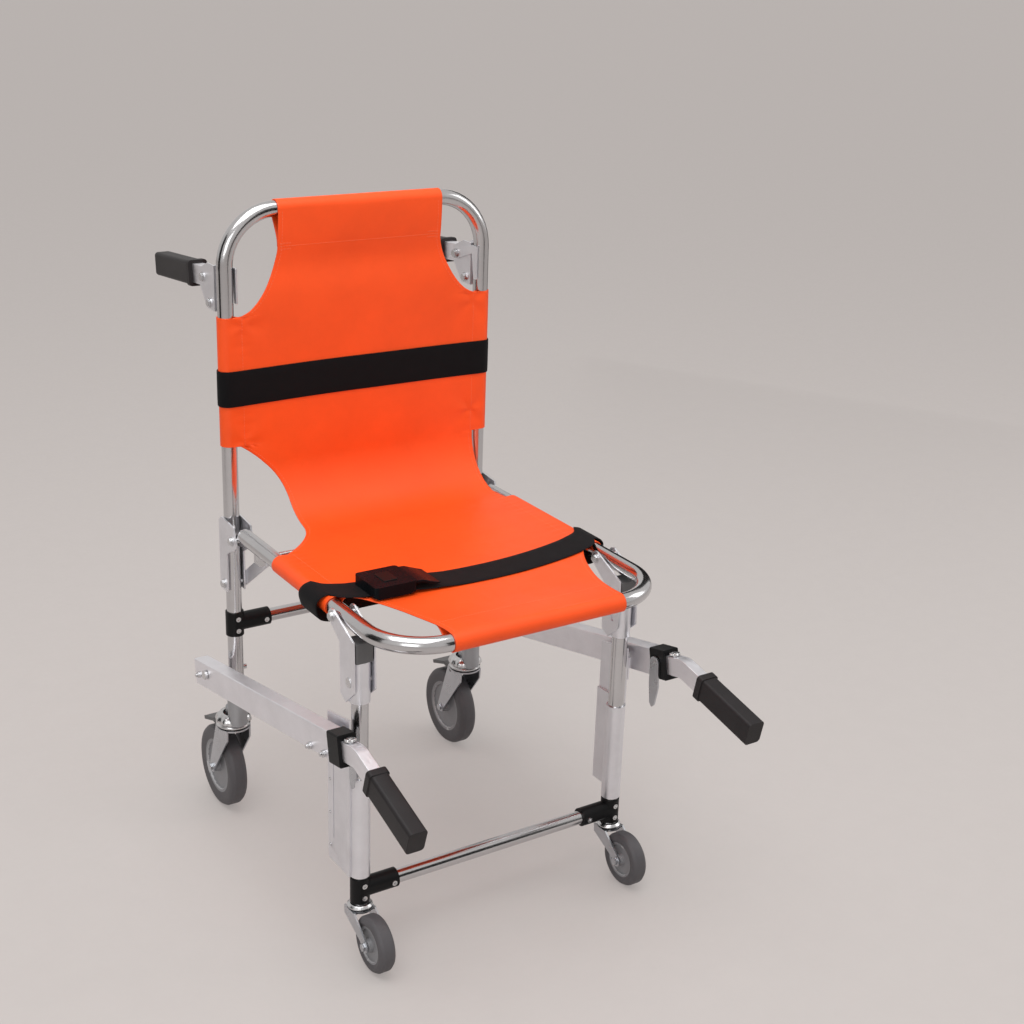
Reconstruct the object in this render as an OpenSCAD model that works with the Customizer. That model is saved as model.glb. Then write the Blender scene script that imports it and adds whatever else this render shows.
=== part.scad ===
// Folding evacuation chair: tubular back frame on two large casters, sling seat,
// front legs on two small casters, side rails with carrying handles.
// Millimetres, +Z up, the sitter faces -Y, +X is the right side seen from the front.
// The origin is on the floor, below the middle of the chair's outline.

/* [Frame] */
// Distance between the centres of the left and right tubes
frame_w = 400; // [340:5:480]
// Outer diameter of the frame tubes
tube_d = 22; // [18:0.5:26]
// Wall of the frame tubes
tube_wall = 1.6; // [1:0.1:3]
// Radius of the tube bends, to the centre line
bend_r = 75; // [50:1:100]
// Height of the centre of the top bar
back_top_z = 908; // [800:1:1000]
// Height of the centre of the seat tubes
seat_z = 468; // [430:1:500]
// Distance from the back tubes to the centre of the front bar
seat_depth = 476; // [440:1:520]
// Height of the rear crossbar
rear_cross_z = 321; // [300:1:340]
// Height of the front crossbar
front_cross_z = 97; // [92:1:120]
// Diameter of the two crossbars
cross_d = 19; // [14:0.5:20]

/* [Hinges] */
// Distance of the seat hinge in front of the back tubes
seat_hinge_y = 30; // [28:1:34]
// Height of the seat hinge below the seat tubes
seat_hinge_drop = 10; // [6:1:12]
// Distance of the front leg hinge in front of the back tubes
leg_hinge_y = 340; // [330:1:350]
// Distance of the front legs in front of the back tubes
leg_y = 384; // [378:1:390]
// Height of the rail hinge pin on the rear legs
rail_hinge_z = 246; // [240:1:250]
// Height of the rail pin in the slot of the front leg
rail_pin_z = 303; // [298:1:306]
// Distance of the rail pin in front of the back tubes
rail_pin_y = 372; // [368:1:375]
// Travel of the rail pin in its slot
slot_travel = 24; // [22:1:30]
// Diameter of the hinge bolts and pins
pin_d = 8; // [6:0.5:9]
// Radial clearance of a pin in its bore
pin_fit = 0.05; // [0.02:0.01:0.1]
// Side clearance between pieces that move past each other
gap = 0.5; // [0.3:0.1:0.8]

/* [Rails and handles] */
// Height of a side rail
rail_h = 38; // [34:1:42]
// Thickness of a side rail
rail_t = 22; // [20:1:24]
// Wall of a side rail
rail_wall = 2; // [1.5:0.1:3]
// Distance from the tubes to the middle of a rail, sideways
rail_side = 33; // [32:1:40]
// Slope of the left rail, rising to the front, in degrees
rail_slope = 10.8; // [10:0.1:12]
// Degrees by which the right rail rises more steeply
right_lift = 2; // [0:0.1:2]
// Height of the centre line of the rails at the back tubes
rail_rear_z = 243; // [238:1:245]
// Length of a rail beyond its pin in the slot
rail_beyond = 25.3; // [21:0.1:28]
// Distance by which the right rail and its handle reach further forward
right_reach = 46; // [0:1:60]
// Length of a rail behind the back tubes
rail_tail = 47; // [40:1:55]
// Height of the handle bars
bar_h = 26; // [20:1:28]
// Thickness of the handle bars
bar_t = 16; // [12:1:17]
// Droop of the left front grip below the horizontal, in degrees
grip_droop = 17; // [12:1:25]
// Degrees by which the right front grip droops less
right_level = 5; // [0:1:8]
// Length of the front grips
front_grip_len = 108; // [90:1:130]
// Distance from the bend of a front handle to its grip
front_grip_start = 32; // [24:1:45]
// Height of the grips
grip_h = 33; // [30:1:36]
// Thickness of the grips
grip_t = 25; // [22:1:26]
// Distance of the rear handle hinge behind the back tubes
rear_hinge_y = 48; // [46:1:54]
// Distance of the rear handle hinge below the top bar
rear_hinge_drop = 94; // [83:1:128]
// Length of the rear grips
rear_grip_len = 130; // [110:1:140]
// Slope of the rear handles, falling to the back, in degrees
rear_droop = 5; // [0:1:8]

/* [Sling and belts] */
// Thickness of the sling cloth
cloth_t = 1.3; // [0.8:0.1:2]
// Half width of the sling at the top bar and at the front bar
tab_half = 126; // [100:1:140]
// Half width of the sling on the left, where it turns from the back to the seat
waist_half = 124; // [100:1:140]
// Gap between the sling and the right tube where the sling turns to the seat
waist_right_gap = 4; // [4:1:30]
// Depth of the top cut-outs of the sling, from the top bar down
cut_depth = 140; // [120:1:160]
// Height where the side sleeves of the back end
sleeve_low_z = 588; // [566:1:600]
// Distance from the back tubes to the start of the seat sleeves
sleeve_rear_y = 158; // [130:1:170]
// Distance from the back tubes to the end of the seat sleeves
sleeve_front_y = 314; // [308:1:318]
// Radius of the sling's turn from back to seat
turn_r = 90; // [80:1:95]
// Width of the webbing
web_w = 50; // [38:1:50]
// Thickness of the webbing
web_t = 1.5; // [1:0.1:2]
// Height of the middle of the back strap
back_strap_z = 670; // [640:1:700]
// Distance from the back tubes to the middle of the belt at the seat tubes
belt_y = 282; // [272:1:284]
// Distance by which the belt bows forward in the middle
belt_bow = 44; // [20:1:60]

/* [Casters] */
// Diameter of the rear wheels
rear_wheel_d = 125; // [110:1:130]
// Width of the rear wheels
rear_wheel_w = 28; // [24:1:30]
// Trail of the rear casters
rear_trail = 42; // [36:1:46]
// Distance of the rear caster stems behind the back tubes
rear_stem_y = 16; // [12:1:18]
// Diameter of the front wheels
front_wheel_d = 76; // [70:1:80]
// Width of the front wheels
front_wheel_w = 24; // [20:1:25]
// Trail of the front casters
front_trail = 43; // [34:1:44]
// Wall of the caster forks
fork_t = 2.5; // [2:0.1:3]
// Diameter of the wheel axles
axle_d = 8; // [6:0.5:10]

/* [Hidden] */
$fn = 48;
// Overrun of every cut
cut = 2;
// Depth by which two shapes of one piece run into each other
join = 0.5;
half = frame_w / 2;
tube_r = tube_d / 2;
bore_r = tube_r - tube_wall;
pin_r = pin_d / 2;
hole_r = pin_r + pin_fit;
cross_r = cross_d / 2;
plate_t = 2.5;
head_r = pin_r * 1.7;
head_t = pin_r * 0.9;
low_head_t = 0.7;
rail_x = half + rail_side;
cut_z = back_top_z - cut_depth;
rear_hinge_z = back_top_z - rear_hinge_drop;
// Clearance of the cloth on its tube
cloth_gap = 0.3;
sleeve_in = tube_r + cloth_gap;
sleeve_out = sleeve_in + cloth_t;
inner_x = half - tube_r;
hinge_z = seat_z - seat_hinge_drop;
// Side view places as [y, z]
seat_pivot = [-seat_hinge_y, hinge_z];
leg_pivot = [-leg_hinge_y, seat_z];
rail_pivot_y = 4;
rail_pivot = [rail_pivot_y, rail_hinge_z];
rail_pin = [-rail_pin_y, rail_pin_z];
rail_len = rail_pin_y / cos(rail_slope) + rail_beyond;
// Rear leg and its caster
rear_leg_z = 178;
rear_cap_z = 150;
rear_cap_t = 8;
rear_cap_r = 25;
rear_stem_h = 18;
bracket_z = 374;
rear_fork_z = rear_cap_z - gap;
rear_axle_z = rear_wheel_d / 2;
rear_axle_y = rear_stem_y + rear_trail;
foot_block_z = rear_cap_z + rear_cap_t;
foot_block_h = 44;
foot_wall = 3;
// Front leg and its caster
front_cap_z = 71;
front_cap_t = 6;
front_cap_r = 17;
front_fork_z = front_cap_z - gap;
front_axle_z = front_wheel_d / 2;
leg_bottom_z = front_cap_z + front_cap_t;
leg_top_z = 424;
leg_bolt_drop = 28;
leg_bolt = [-leg_y, leg_top_z - leg_bolt_drop];
front_stem_h = 20;
buffer_h = 27;
buffer_y = 27;
buffer_x = 24;
buffer_edge = 2;
// Clamps of the crossbars
clamp_wall = 2;
clamp_r = tube_r + clamp_wall;
clamp_h = 36;
clamp_arm = 52;
screw_r = 3.6;
screw_t = 1.2;
clamp_screw_in = 8;
// Layers beside the front leg, measured from the middle of the tube
sleeve_room = 0.7;
bracket_in = sleeve_out + sleeve_room;
bracket_out = bracket_in + plate_t;
profile_r = bracket_in;
// Cheeks of the seat brackets, and the plane of the lock struts inside them
cheek_room = 0.4;
cheek_in = tube_r + cheek_room;
cheek_out = cheek_in + plate_t;
wing_t = 3;
wing_reach = 58;
wing_y = leg_y - wing_reach;
profile_low_z = 118;
profile_high_z = 292;
profile_mid_z = 262;
profile_head = 56;
short_wing = 18;
slot_plate_rise = 40;
slot_plate_peak = 52;
// Groove pressed in the slot plate
groove_y = 17;
groove_z = 36;
groove_w = 2;
groove_h = 120;
groove_t = 1;
slot_plate_x = half + profile_r;
slot_plate_t = 2.5;
slot_room = 0.6;
slot_r = pin_r + slot_room;
slot_plate_over = 1;
slot_plate_front = leg_y + slot_plate_over;
lever_room = 1;
lever_x = slot_plate_x + slot_plate_t + lever_room;
lever_t = 2.4;
rail_in = rail_x - rail_t / 2;
lug_room = 0.4;
lug_t = rail_in - lever_x - lever_t - lug_room;
// Rail, collar and front handle, measured along the rail
collar_wall = 2;
collar_len = 30;
collar_seat = 11;
slide_fit = 0.1;
bar_inside = 174;
bar_tail = rail_len - bar_inside;
bar_out = 42;
bend_at = rail_len + bar_out;
bar_bend_r = 30;
// Slope of a rail, droop of its grip, and the bend of its handle bar
function slope(left) = rail_slope + (left ? 0 : right_lift);
function droop(left) = grip_droop - (left ? 0 : right_level);
function bar_bend(left) = slope(left) + droop(left);
grip_socket = 56;
lip = 3;
lip_len = 10;
grip_edge = 5;
button_r = 4.5;
button_h = 6;
button_out = 28;
button_at = rail_len + button_out;
button_rise = 3.2;
button_cap = 2;
// Rear handle
ear_t = 2.5;
ear_room = 0.3;
ear_in = bar_t / 2 + ear_room;
rear_grip_start = 42;
latch_t = 2.6;
latch_x = half - tube_r - gap - latch_t;
bracket_drop = 40;
bracket_rise = 22;
bracket_bolt_drop = 31;
bracket_low_z = rear_hinge_z - bracket_drop;
bracket_high_z = rear_hinge_z + bracket_rise;
bracket_bolt_y = 26;
bracket_bolt_z = rear_hinge_z - bracket_bolt_drop;
// Outline of the handle bracket's ears
ear_high_reach = 22;
ear_low_reach = 24;
ear_round = 12;
ear_back = 10;
// Outline of the rear handle's release lever
latch_round = 8;
latch_peak_y = 4;
latch_peak = 20;
latch_front = 10;
latch_drop = 28;
latch_pad = 3;
// Rear outline: far corner of a rear grip; front outline: upper corner of a front grip
rear_far = rear_hinge_y + (rear_grip_start + rear_grip_len) * cos(rear_droop)
    + grip_h / 2 * sin(rear_droop);
bend_start_y = -(bend_at + right_reach) * cos(slope(false));
bend_chord = 2 * bar_bend_r * sin(bar_bend(false) / 2);
bend_mid = slope(false) - bar_bend(false) / 2;
bend_end_y = bend_start_y - bend_chord * cos(bend_mid);
grip_far = front_grip_start + front_grip_len;
front_far = -bend_end_y + grip_far * cos(droop(false)) + grip_h / 2 * sin(droop(false));
origin_y = (rear_far - front_far) / 2;
// Sling
turn_y = turn_r * 0.8;
turn_gap = 3;
seat_rear_y = turn_y + turn_gap;
tab_h = 53;
cut_top_z = back_top_z - tab_h;
waist_widen = 8;
waist_right = half - tube_r - waist_right_gap;
curve_steps = 12;
// Belt and buckle
strap_z = seat_z + sleeve_out + cloth_gap;
loop_reach = 20;
loop_out = half + loop_reach;
loop_drop = 22.5;
loop_low_z = seat_z - loop_drop;
bow_power = 0.35;
strap_low_z = seat_z - sleeve_out - cloth_gap - web_t;
buckle_share = 0.65;
buckle_x = -half * buckle_share;
buckle_l = 60;
buckle_w = 58;
buckle_h = 14;
buckle_wall = 3;
buckle_button_l = 20;
buckle_button_w = 28;
buckle_button_h = 6;
buckle_back = 5;
buckle_y = belt_y + belt_bow - buckle_back;
buckle_edge = 5;
buckle_foot = 0.6;
buckle_foot_in = 2;
buckle_foot_edge = 4;
button_corner = 3;
button_float = 3;
// Lock struts
strut_pivot_up = 10;
strut_pivot = [0, bracket_z + strut_pivot_up];
seat_tube_gap = 14;
seat_tube_y = seat_hinge_y + seat_tube_gap;
ear_r = 8;
ear_root = 20;
ear_root_y = seat_tube_y + ear_root;
stay_y = 92;
stay_drop = 16;
stay_z = seat_z - stay_drop;
stay_r = 4;
strut_t = 3;
strut_r = 9;
strut_x = half - cheek_out - gap - strut_t;
lug_y = 20;
lug_drop = 8;
lug_low_z = stay_z - lug_drop;

// Shared shapes

// Puts the chair's outline over the origin
module place() translate([0, -origin_y, 0]) children();

// Round bar along X between two x values, at a side view place
module bar_x(x0, x1, at, r) translate([x0, at[0], at[1]])
    rotate([0, 90, 0]) cylinder(r = r, h = x1 - x0);

// Side view outline made solid between two x values
module side_plate(x0, x1) translate([x0, 0, 0])
    rotate([90, 0, 90]) linear_extrude(x1 - x0) children();

// The same solid on both sides of the chair, given for the right side
module both() for (s = [0, 1]) mirror([s, 0, 0]) children();

// Left or right copy of a solid given for the right side
module on_side(left) mirror([left ? 1 : 0, 0, 0]) children();

// Hexagonal bolt head with a washer, pointing along +X from a place
module bolt_head(x, at) {
    translate([x, at[0], at[1]]) rotate([0, 90, 0]) {
        cylinder(r = head_r, h = head_t / 3);
        translate([0, 0, head_t / 3 - join]) cylinder(r = head_r * 0.8, h = head_t, $fn = 6);
    }
}

// Bent tube in the shape of a portal: two legs, two bends and a top bar, drawn in X and Z
module portal(w, r_tube, r_bend, z_low, z_top) {
    z_bend = z_top - r_bend;
    for (s = [-1, 1]) translate([s * w / 2, 0, z_low]) cylinder(r = r_tube, h = z_bend - z_low);
    for (s = [0, 1]) mirror([s, 0, 0]) translate([w / 2 - r_bend, 0, z_bend])
        rotate([90, 0, 0]) rotate_extrude(angle = 90) translate([r_bend, 0]) circle(r_tube);
    translate([r_bend - w / 2, 0, z_top]) rotate([0, 90, 0])
        cylinder(r = r_tube, h = w - 2 * r_bend);
}

// Place of the rail's own frame: local -Y runs forward along the rail
module along_rail(left, shift = 0) translate([rail_x, 0, rail_rear_z])
    rotate([-slope(left), 0, 0]) translate([0, -shift, 0]) children();

// Longer reach of the right side
function reach(left) = left ? 0 : right_reach;

// Block with rounded edges along its length, lying from y0 forward to y1
module long_block(t, h, y0, y1, r) translate([0, -y0, 0]) rotate([90, 0, 0])
    linear_extrude(y1 - y0) rounded(t, h, r);

// Rectangle with round corners
module rounded(w, h, r) {
    square([w - 2 * r, h], center = true);
    square([w, h - 2 * r], center = true);
    for (sx = [-1, 1], sy = [-1, 1]) translate([sx * (w / 2 - r), sy * (h / 2 - r)]) circle(r);
}

// Flat bar with round ends between two side view places
module link_2d(a, b, r) {
    d = b - a;
    translate(a) circle(r);
    translate(b) circle(r);
    translate(a) rotate(atan2(d[1], d[0])) translate([0, -r]) square([norm(d), 2 * r]);
}

// Back frame

module back_hoop() color("silver") place() difference() {
    portal(frame_w, tube_r, bend_r, rear_leg_z, back_top_z);
    translate([0, 0, -cut]) portal(frame_w, bore_r, bend_r, rear_leg_z, back_top_z + cut);
    both() for (at = [rail_pivot, strut_pivot]) bar_x(half - tube_d, half + tube_d, at, pin_r);
}

module back_crossbar() color("silver") place()
    crossbar(0, rear_cross_z);

// Straight tube between the two clamps of a crossbar
module crossbar(y, z) difference() {
    bar_x(-cross_end(), cross_end(), [y, z], cross_r);
    bar_x(-cross_end() - cut, cross_end() + cut, [y, z], cross_r - tube_wall);
}
function cross_end() = half - clamp_r - join;

// Black clamp that holds a crossbar to a leg: upright collar and arm
module clamp(y, z) translate([half, y, z]) difference() {
    union() {
        translate([0, 0, -clamp_h / 2]) cylinder(r = clamp_r, h = clamp_h);
        translate([-clamp_arm, 0, 0]) rotate([0, 90, 0]) cylinder(r = clamp_r, h = clamp_arm);
    }
    translate([0, 0, -clamp_h]) cylinder(r = tube_r, h = 2 * clamp_h);
    translate([-clamp_arm - cut, 0, 0]) rotate([0, 90, 0])
        cylinder(r = cross_r, h = clamp_arm + cut);
}

// Three screw heads on the front of a clamp
module clamp_screws(y, z) for (p = [[0, clamp_h / 4], [0, -clamp_h / 4], [clamp_screw_in - clamp_arm, 0]])
    translate([half + p[0], y - clamp_r + join, z + p[1]]) rotate([90, 0, 0])
        difference() {
            cylinder(r = screw_r, h = screw_t + join);
            translate([0, 0, join]) cylinder(r = screw_r / 2, h = screw_t + cut, $fn = 6);
        }

module back_clamps() color("black") place() both() difference() {
    clamp(0, rear_cross_z);
    clamp_screws(0, rear_cross_z);
}

// Outline of the seat bracket's cheeks, from the back over the hinge
cheek_back = 10;
cheek_peak_y = 4;
cheek_peak = 16;
cheek_nose = 6;
cheek_brow = 12;
cheek_round = 14;
cheek_chin = 26;

// Channel round the rear leg whose cheeks carry the seat hinge
module seat_brackets() color("lightgray") place() both() difference() {
    union() {
        for (x = [half - cheek_out, half + cheek_in]) side_plate(x, x + plate_t) {
            polygon([[tube_r + plate_t, bracket_z], [tube_r + plate_t, seat_z + cheek_back],
                [cheek_peak_y, seat_z + cheek_peak], [-seat_hinge_y - cheek_nose, seat_z + cheek_brow],
                [-seat_hinge_y - cheek_round, hinge_z], [-seat_hinge_y, hinge_z - cheek_round],
                [-tube_r, hinge_z - cheek_chin], [-tube_r, bracket_z]]);
            translate(seat_pivot) circle(cheek_round);
        }
        translate([half - cheek_out, tube_r, bracket_z])
            cube([2 * cheek_out, plate_t, seat_z + cheek_back - bracket_z]);
    }
    for (at = [seat_pivot, strut_pivot]) bar_x(half - tube_d, half + tube_d, at, pin_r);
}

// Bolt along X with a head at its outer end and a nut at its inner end
module bolt(x0, x1, at) {
    bar_x(x0, x1 + join, at, pin_r);
    bolt_head(x1, at);
    mirror([1, 0, 0]) bolt_head(-x0, at);
}

// Bolts, nuts and screws of the back frame
module back_frame_screws() color("gainsboro") place() both() {
    bolt(half - cheek_out, half + cheek_out, seat_pivot);
    bolt(strut_x - gap, half + cheek_out, strut_pivot);
    clamp_screws(0, rear_cross_z);
    bolt(half - ear_in - ear_t, half + ear_in + ear_t, [bracket_bolt_y, bracket_bolt_z]);
    bolt(latch_x - gap, half + ear_in + ear_t, [rear_hinge_y, rear_hinge_z]);
}

// One side of the back panel's outline in X and Z, from the top down
function back_edge(waist, low) = concat(
    [[tab_half, back_top_z], [tab_half, cut_top_z]],
    [for (i = [1:curve_steps]) let (a = 90 * i / curve_steps)
        [tab_half + (inner_x - tab_half) * pow(1 - cos(a), 0.75),
         cut_top_z - (cut_top_z - cut_z) * sin(a)]],
    [[inner_x, low]],
    [for (i = [1:curve_steps]) let (t = i / curve_steps)
        [waist + (inner_x - waist) * pow(1 - t, 2), low - (low - turn_waist_z) * t]],
    [[waist, seat_z - cloth_t]]);
turn_waist_z = seat_z + turn_r / 3;

// Whole outline from its right and left sides
function joined(right, left) = concat(right,
    [for (i = [len(left) - 1:-1:0]) [-left[i][0], left[i][1]]]);
back_outline = joined(back_edge(waist_right, turn_r + seat_z), back_edge(waist_half, sleeve_low_z));

// Sleeve of cloth round a tube along +Z
module sleeve(h) difference() {
    cylinder(r = sleeve_out, h = h);
    translate([0, 0, -cut]) cylinder(r = sleeve_in, h = h + 2 * cut);
}

// Side view of the cloth's turn from the back to the seat
module turn_2d() intersection() {
    difference() {
        translate([-turn_r, seat_z + turn_r]) circle(turn_r + cloth_t / 2, $fn = 96);
        translate([-turn_r, seat_z + turn_r]) circle(turn_r - cloth_t / 2, $fn = 96);
    }
    translate([-turn_y, seat_z - cloth_t]) square([turn_y + cloth_t, turn_r + cloth_t]);
}

// Back panel with its sleeves, and the turn of the cloth towards the seat
module back_sling() color("orangered") place() difference() {
    union() {
        translate([0, cloth_t / 2, 0]) rotate([90, 0, 0]) linear_extrude(cloth_t)
            intersection() {
                polygon(back_outline);
                translate([-half, seat_z + turn_r]) square([frame_w, back_top_z]);
            }
        intersection() {
            side_plate(-half, half) turn_2d();
            translate([0, turn_r, 0]) rotate([90, 0, 0]) linear_extrude(2 * turn_r)
                polygon(back_outline);
        }
        translate([-half, 0, sleeve_low_z]) sleeve(cut_z - sleeve_low_z);
        translate([half, 0, seat_z + turn_r]) sleeve(cut_z - seat_z - turn_r);
        translate([-tab_half, 0, back_top_z]) rotate([0, 90, 0]) sleeve(2 * tab_half);
    }
    for (s = [-1, 1]) translate([s * half, 0, seat_z]) cylinder(r = sleeve_in, h = cut_z);
    translate([-tab_half - cut, 0, back_top_z]) rotate([0, 90, 0])
        cylinder(r = sleeve_in, h = 2 * (tab_half + cut));
}

// Band of webbing in a plan outline that runs round two tubes
module band_2d(x, r) {
    difference() {
        round_pair(x, r + web_t);
        round_pair(x, r);
    }
}
module round_pair(x, r) {
    square([2 * x, 2 * r], center = true);
    for (s = [-1, 1]) translate([s * x, 0]) circle(r);
}

// Strap across the back, sewn to a band round both tubes
module back_strap() color("dimgray") place()
    translate([0, 0, back_strap_z - web_w / 2]) linear_extrude(web_w)
        band_2d(half, sleeve_out + cloth_gap);

// Cast block that joins the rear leg to its caster
module rear_foot_blocks() color("lightgray") place() both() difference() {
    union() {
        translate([half, 0, foot_block_z]) cylinder(r = tube_r + foot_wall, h = foot_block_h);
        translate([half, rear_stem_y, foot_block_z]) cylinder(r = tube_r, h = foot_block_h / 2);
        translate([half - tube_r, 0, foot_block_z])
            cube([tube_d, rear_stem_y, foot_block_h / 2]);
    }
    translate([half, 0, rear_leg_z]) cylinder(r = tube_r, h = foot_block_h);
    translate([half, rear_stem_y, foot_block_z - cut])
        cylinder(r = pin_r, h = rear_stem_h + cut);
}

// Stem with its round cap, seen on both kinds of caster
module caster_stem(r, z, t, stem_h) {
    rotate_extrude() polygon([[0, z - t], [pin_r, z - t], [pin_r, z], [r - t / 2, z],
        [r, z + t / 4], [r, z + t / 2], [r - t / 2, z + t], [pin_r, z + t],
        [pin_r, z + t + stem_h], [0, z + t + stem_h]]);
}

module rear_caster_stems() color("gainsboro") place() both()
    translate([half, rear_stem_y, 0]) caster_stem(rear_cap_r, rear_cap_z, rear_cap_t, rear_stem_h);

// Pins through the rear legs on which the side rails turn
pivot_inside = 6;
pivot_play = 1;
module rail_pivot_pins() color("gainsboro") place() both() {
    pin_end = rail_in + rail_t + pivot_play;
    bar_x(half - tube_r - pivot_inside, pin_end, rail_pivot, pin_r);
    bar_x(pin_end - join, pin_end + head_t, rail_pivot, head_r);
}

// Channel behind the upright that carries a rear handle
module handle_brackets() color("lightgray") place() both() difference() {
    union() {
        for (x = [half - ear_in - ear_t, half + ear_in]) side_plate(x, x + ear_t)
            polygon([[tube_r, bracket_low_z], [tube_r, bracket_high_z],
                [tube_r + ear_high_reach, bracket_high_z],
                [rear_hinge_y + ear_round, rear_hinge_z + ear_back],
                [rear_hinge_y + ear_round, rear_hinge_z - ear_round],
                [tube_r + ear_low_reach, bracket_low_z]]);
        translate([half - ear_in - ear_t, tube_r, bracket_low_z])
            cube([2 * (ear_in + ear_t), ear_t, bracket_high_z - bracket_low_z]);
    }
    for (at = [[bracket_bolt_y, bracket_bolt_z], [rear_hinge_y, rear_hinge_z]])
        bar_x(half - tube_d, half + tube_d, at, pin_r);
}

// Rear handles

// Place of a rear handle's own frame: local +Y runs back along the handle
module along_rear_handle() translate([half, rear_hinge_y, rear_hinge_z])
    rotate([-rear_droop, 0, 0]) children();

module rear_handle(left) color("silver") place() on_side(left) along_rear_handle() difference() {
    union() {
        translate([-bar_t / 2, 0, -bar_h / 2])
            cube([bar_t, rear_grip_start + grip_socket, bar_h]);
        rotate([0, 90, 0]) translate([0, 0, -bar_t / 2]) cylinder(r = bar_h / 2, h = bar_t);
    }
    rotate([0, 90, 0]) translate([0, 0, -bar_t]) cylinder(r = hole_r, h = 2 * bar_t);
}
module rear_handle_left() rear_handle(true);
module rear_handle_right() rear_handle(false);

// Rubber grip with a raised lip at its inner end, running forward from the origin
module grip(len) difference() {
    union() {
        long_block(grip_t, grip_h, 0, len, grip_edge);
        long_block(grip_t + lip, grip_h + lip, 0, lip_len, grip_edge);
    }
    translate([-bar_t / 2, -grip_socket, -bar_h / 2]) cube([bar_t, grip_socket + cut, bar_h]);
}

module rear_grip(left) color("dimgray") place() on_side(left) along_rear_handle()
    translate([0, rear_grip_start, 0]) mirror([0, 1, 0]) grip(rear_grip_len);
module rear_grip_left() rear_grip(true);
module rear_grip_right() rear_grip(false);

// Black release lever beside the upright, turning on the handle's hinge bolt
module handle_latch(left) color("black") place() on_side(left) {
    difference() {
        side_plate(latch_x, latch_x + latch_t) {
            translate([rear_hinge_y, rear_hinge_z]) circle(latch_round);
            polygon([[rear_hinge_y, rear_hinge_z + latch_round],
                [latch_peak_y, rear_hinge_z + latch_peak], [-latch_front, rear_hinge_z + latch_peak],
                [-latch_front, rear_hinge_z - latch_drop], [-latch_pad, rear_hinge_z - latch_drop],
                [latch_pad, rear_hinge_z + latch_round],
                [rear_hinge_y, rear_hinge_z - latch_round]]);
        }
        bar_x(latch_x - cut, half, [rear_hinge_y, rear_hinge_z], hole_r);
    }
}
module handle_latch_left() handle_latch(true);
module handle_latch_right() handle_latch(false);

// Seat frame

module seat_hoop() color("silver") place() difference() {
    union() {
        seat_portal(tube_r, 0);
        both() {
            side_plate(half - ear_r / 2, half + ear_r / 2) {
                translate(seat_pivot) circle(ear_r);
                polygon([[-seat_hinge_y, hinge_z - ear_r], [-ear_root_y, seat_z - tube_r],
                    [-ear_root_y, seat_z], [-seat_hinge_y - ear_r, seat_z + ear_r],
                    [-seat_hinge_y, hinge_z + ear_r]]);
            }
            side_plate(half - stay_r, half + stay_r) translate([-stay_y - lug_y / 2, lug_low_z])
                square([lug_y, seat_z - bore_r - lug_low_z]);
        }
    }
    difference() {
        seat_portal(bore_r, cut);
        both() side_plate(half - ear_r / 2, half + ear_r / 2)
            translate([-ear_root_y, seat_z - tube_r]) square([ear_root_y, tube_d]);
    }
    both() for (at = [seat_pivot, leg_pivot]) bar_x(half - tube_d, half + tube_d, at, hole_r);
    bar_x(-half - stay_r, half + stay_r, [-stay_y, stay_z], stay_r);
}

// The seat's bent tube: the portal laid flat, its bar to the front
module seat_portal(r, over) translate([0, 0, seat_z]) rotate([90, 0, 0])
    translate([0, 0, -over]) portal(frame_w, r, bend_r, seat_tube_y, seat_depth + over);

// Round rod across the seat frame that the lock struts hold
module seat_stay_rod() color("gainsboro") place()
    bar_x(-half - stay_r, half + stay_r, [-stay_y, stay_z], stay_r);

// One side of the seat panel's outline in X and Y, from the rear forward
function seat_edge(waist, rear) = concat(
    [for (i = [0:curve_steps]) let (t = i / curve_steps)
        [waist + (inner_x - waist) * pow(t, 1.7), -seat_rear_y - (rear - seat_rear_y) * t]],
    [for (i = [0:curve_steps]) let (a = 90 * i / curve_steps)
        [tab_half + (inner_x - tab_half) * pow(1 - sin(a), 0.85),
         -sleeve_front_y - (seat_depth - sleeve_front_y - tube_r) * pow(1 - cos(a), 0.8)]],
    [[tab_half, -seat_depth]]);
sleeve_right_y = stay_y + lug_y / 2 + 2 * gap;

// Sleeve of the seat round a side tube, from its rear end forward
module seat_sleeve(x, rear) translate([x, -rear, seat_z]) rotate([90, 0, 0])
    sleeve(sleeve_front_y - rear);

module seat_sling() color("coral") place() difference() {
    union() {
        translate([0, 0, seat_z - cloth_t / 2]) linear_extrude(cloth_t)
            polygon(joined(seat_edge(waist_right, sleeve_right_y),
                seat_edge(waist_half + waist_widen, sleeve_rear_y)));
        seat_sleeve(-half, sleeve_rear_y);
        seat_sleeve(half, sleeve_right_y);
        translate([-tab_half, -seat_depth, seat_z]) rotate([0, 90, 0]) sleeve(2 * tab_half);
    }
    for (s = [-1, 1]) translate([s * half, 0, seat_z]) rotate([90, 0, 0])
        cylinder(r = sleeve_in, h = seat_depth - bend_r);
    translate([-tab_half - cut, -seat_depth, seat_z]) rotate([0, 90, 0])
        cylinder(r = sleeve_in, h = 2 * (tab_half + cut));
}

// Lap belt: a band round both seat tubes, its upper run bowed forward over the seat
module lap_belt() color("black") place() difference() {
    union() {
        both() translate([0, web_w / 2 - belt_y, 0]) rotate([90, 0, 0]) linear_extrude(web_w)
            loop_2d();
        translate([0, 0, strap_z]) linear_extrude(web_t) belt_plan();
        translate([loop_inner - half, -belt_y - web_w / 2, strap_low_z])
            cube([frame_w - 2 * loop_inner, web_w, web_t]);
    }
    translate([buckle_x, -buckle_y, strap_z + web_t / 2])
        cube([buckle_l - 2 * buckle_wall, 2 * web_w, 2 * web_t], center = true);
}

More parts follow.
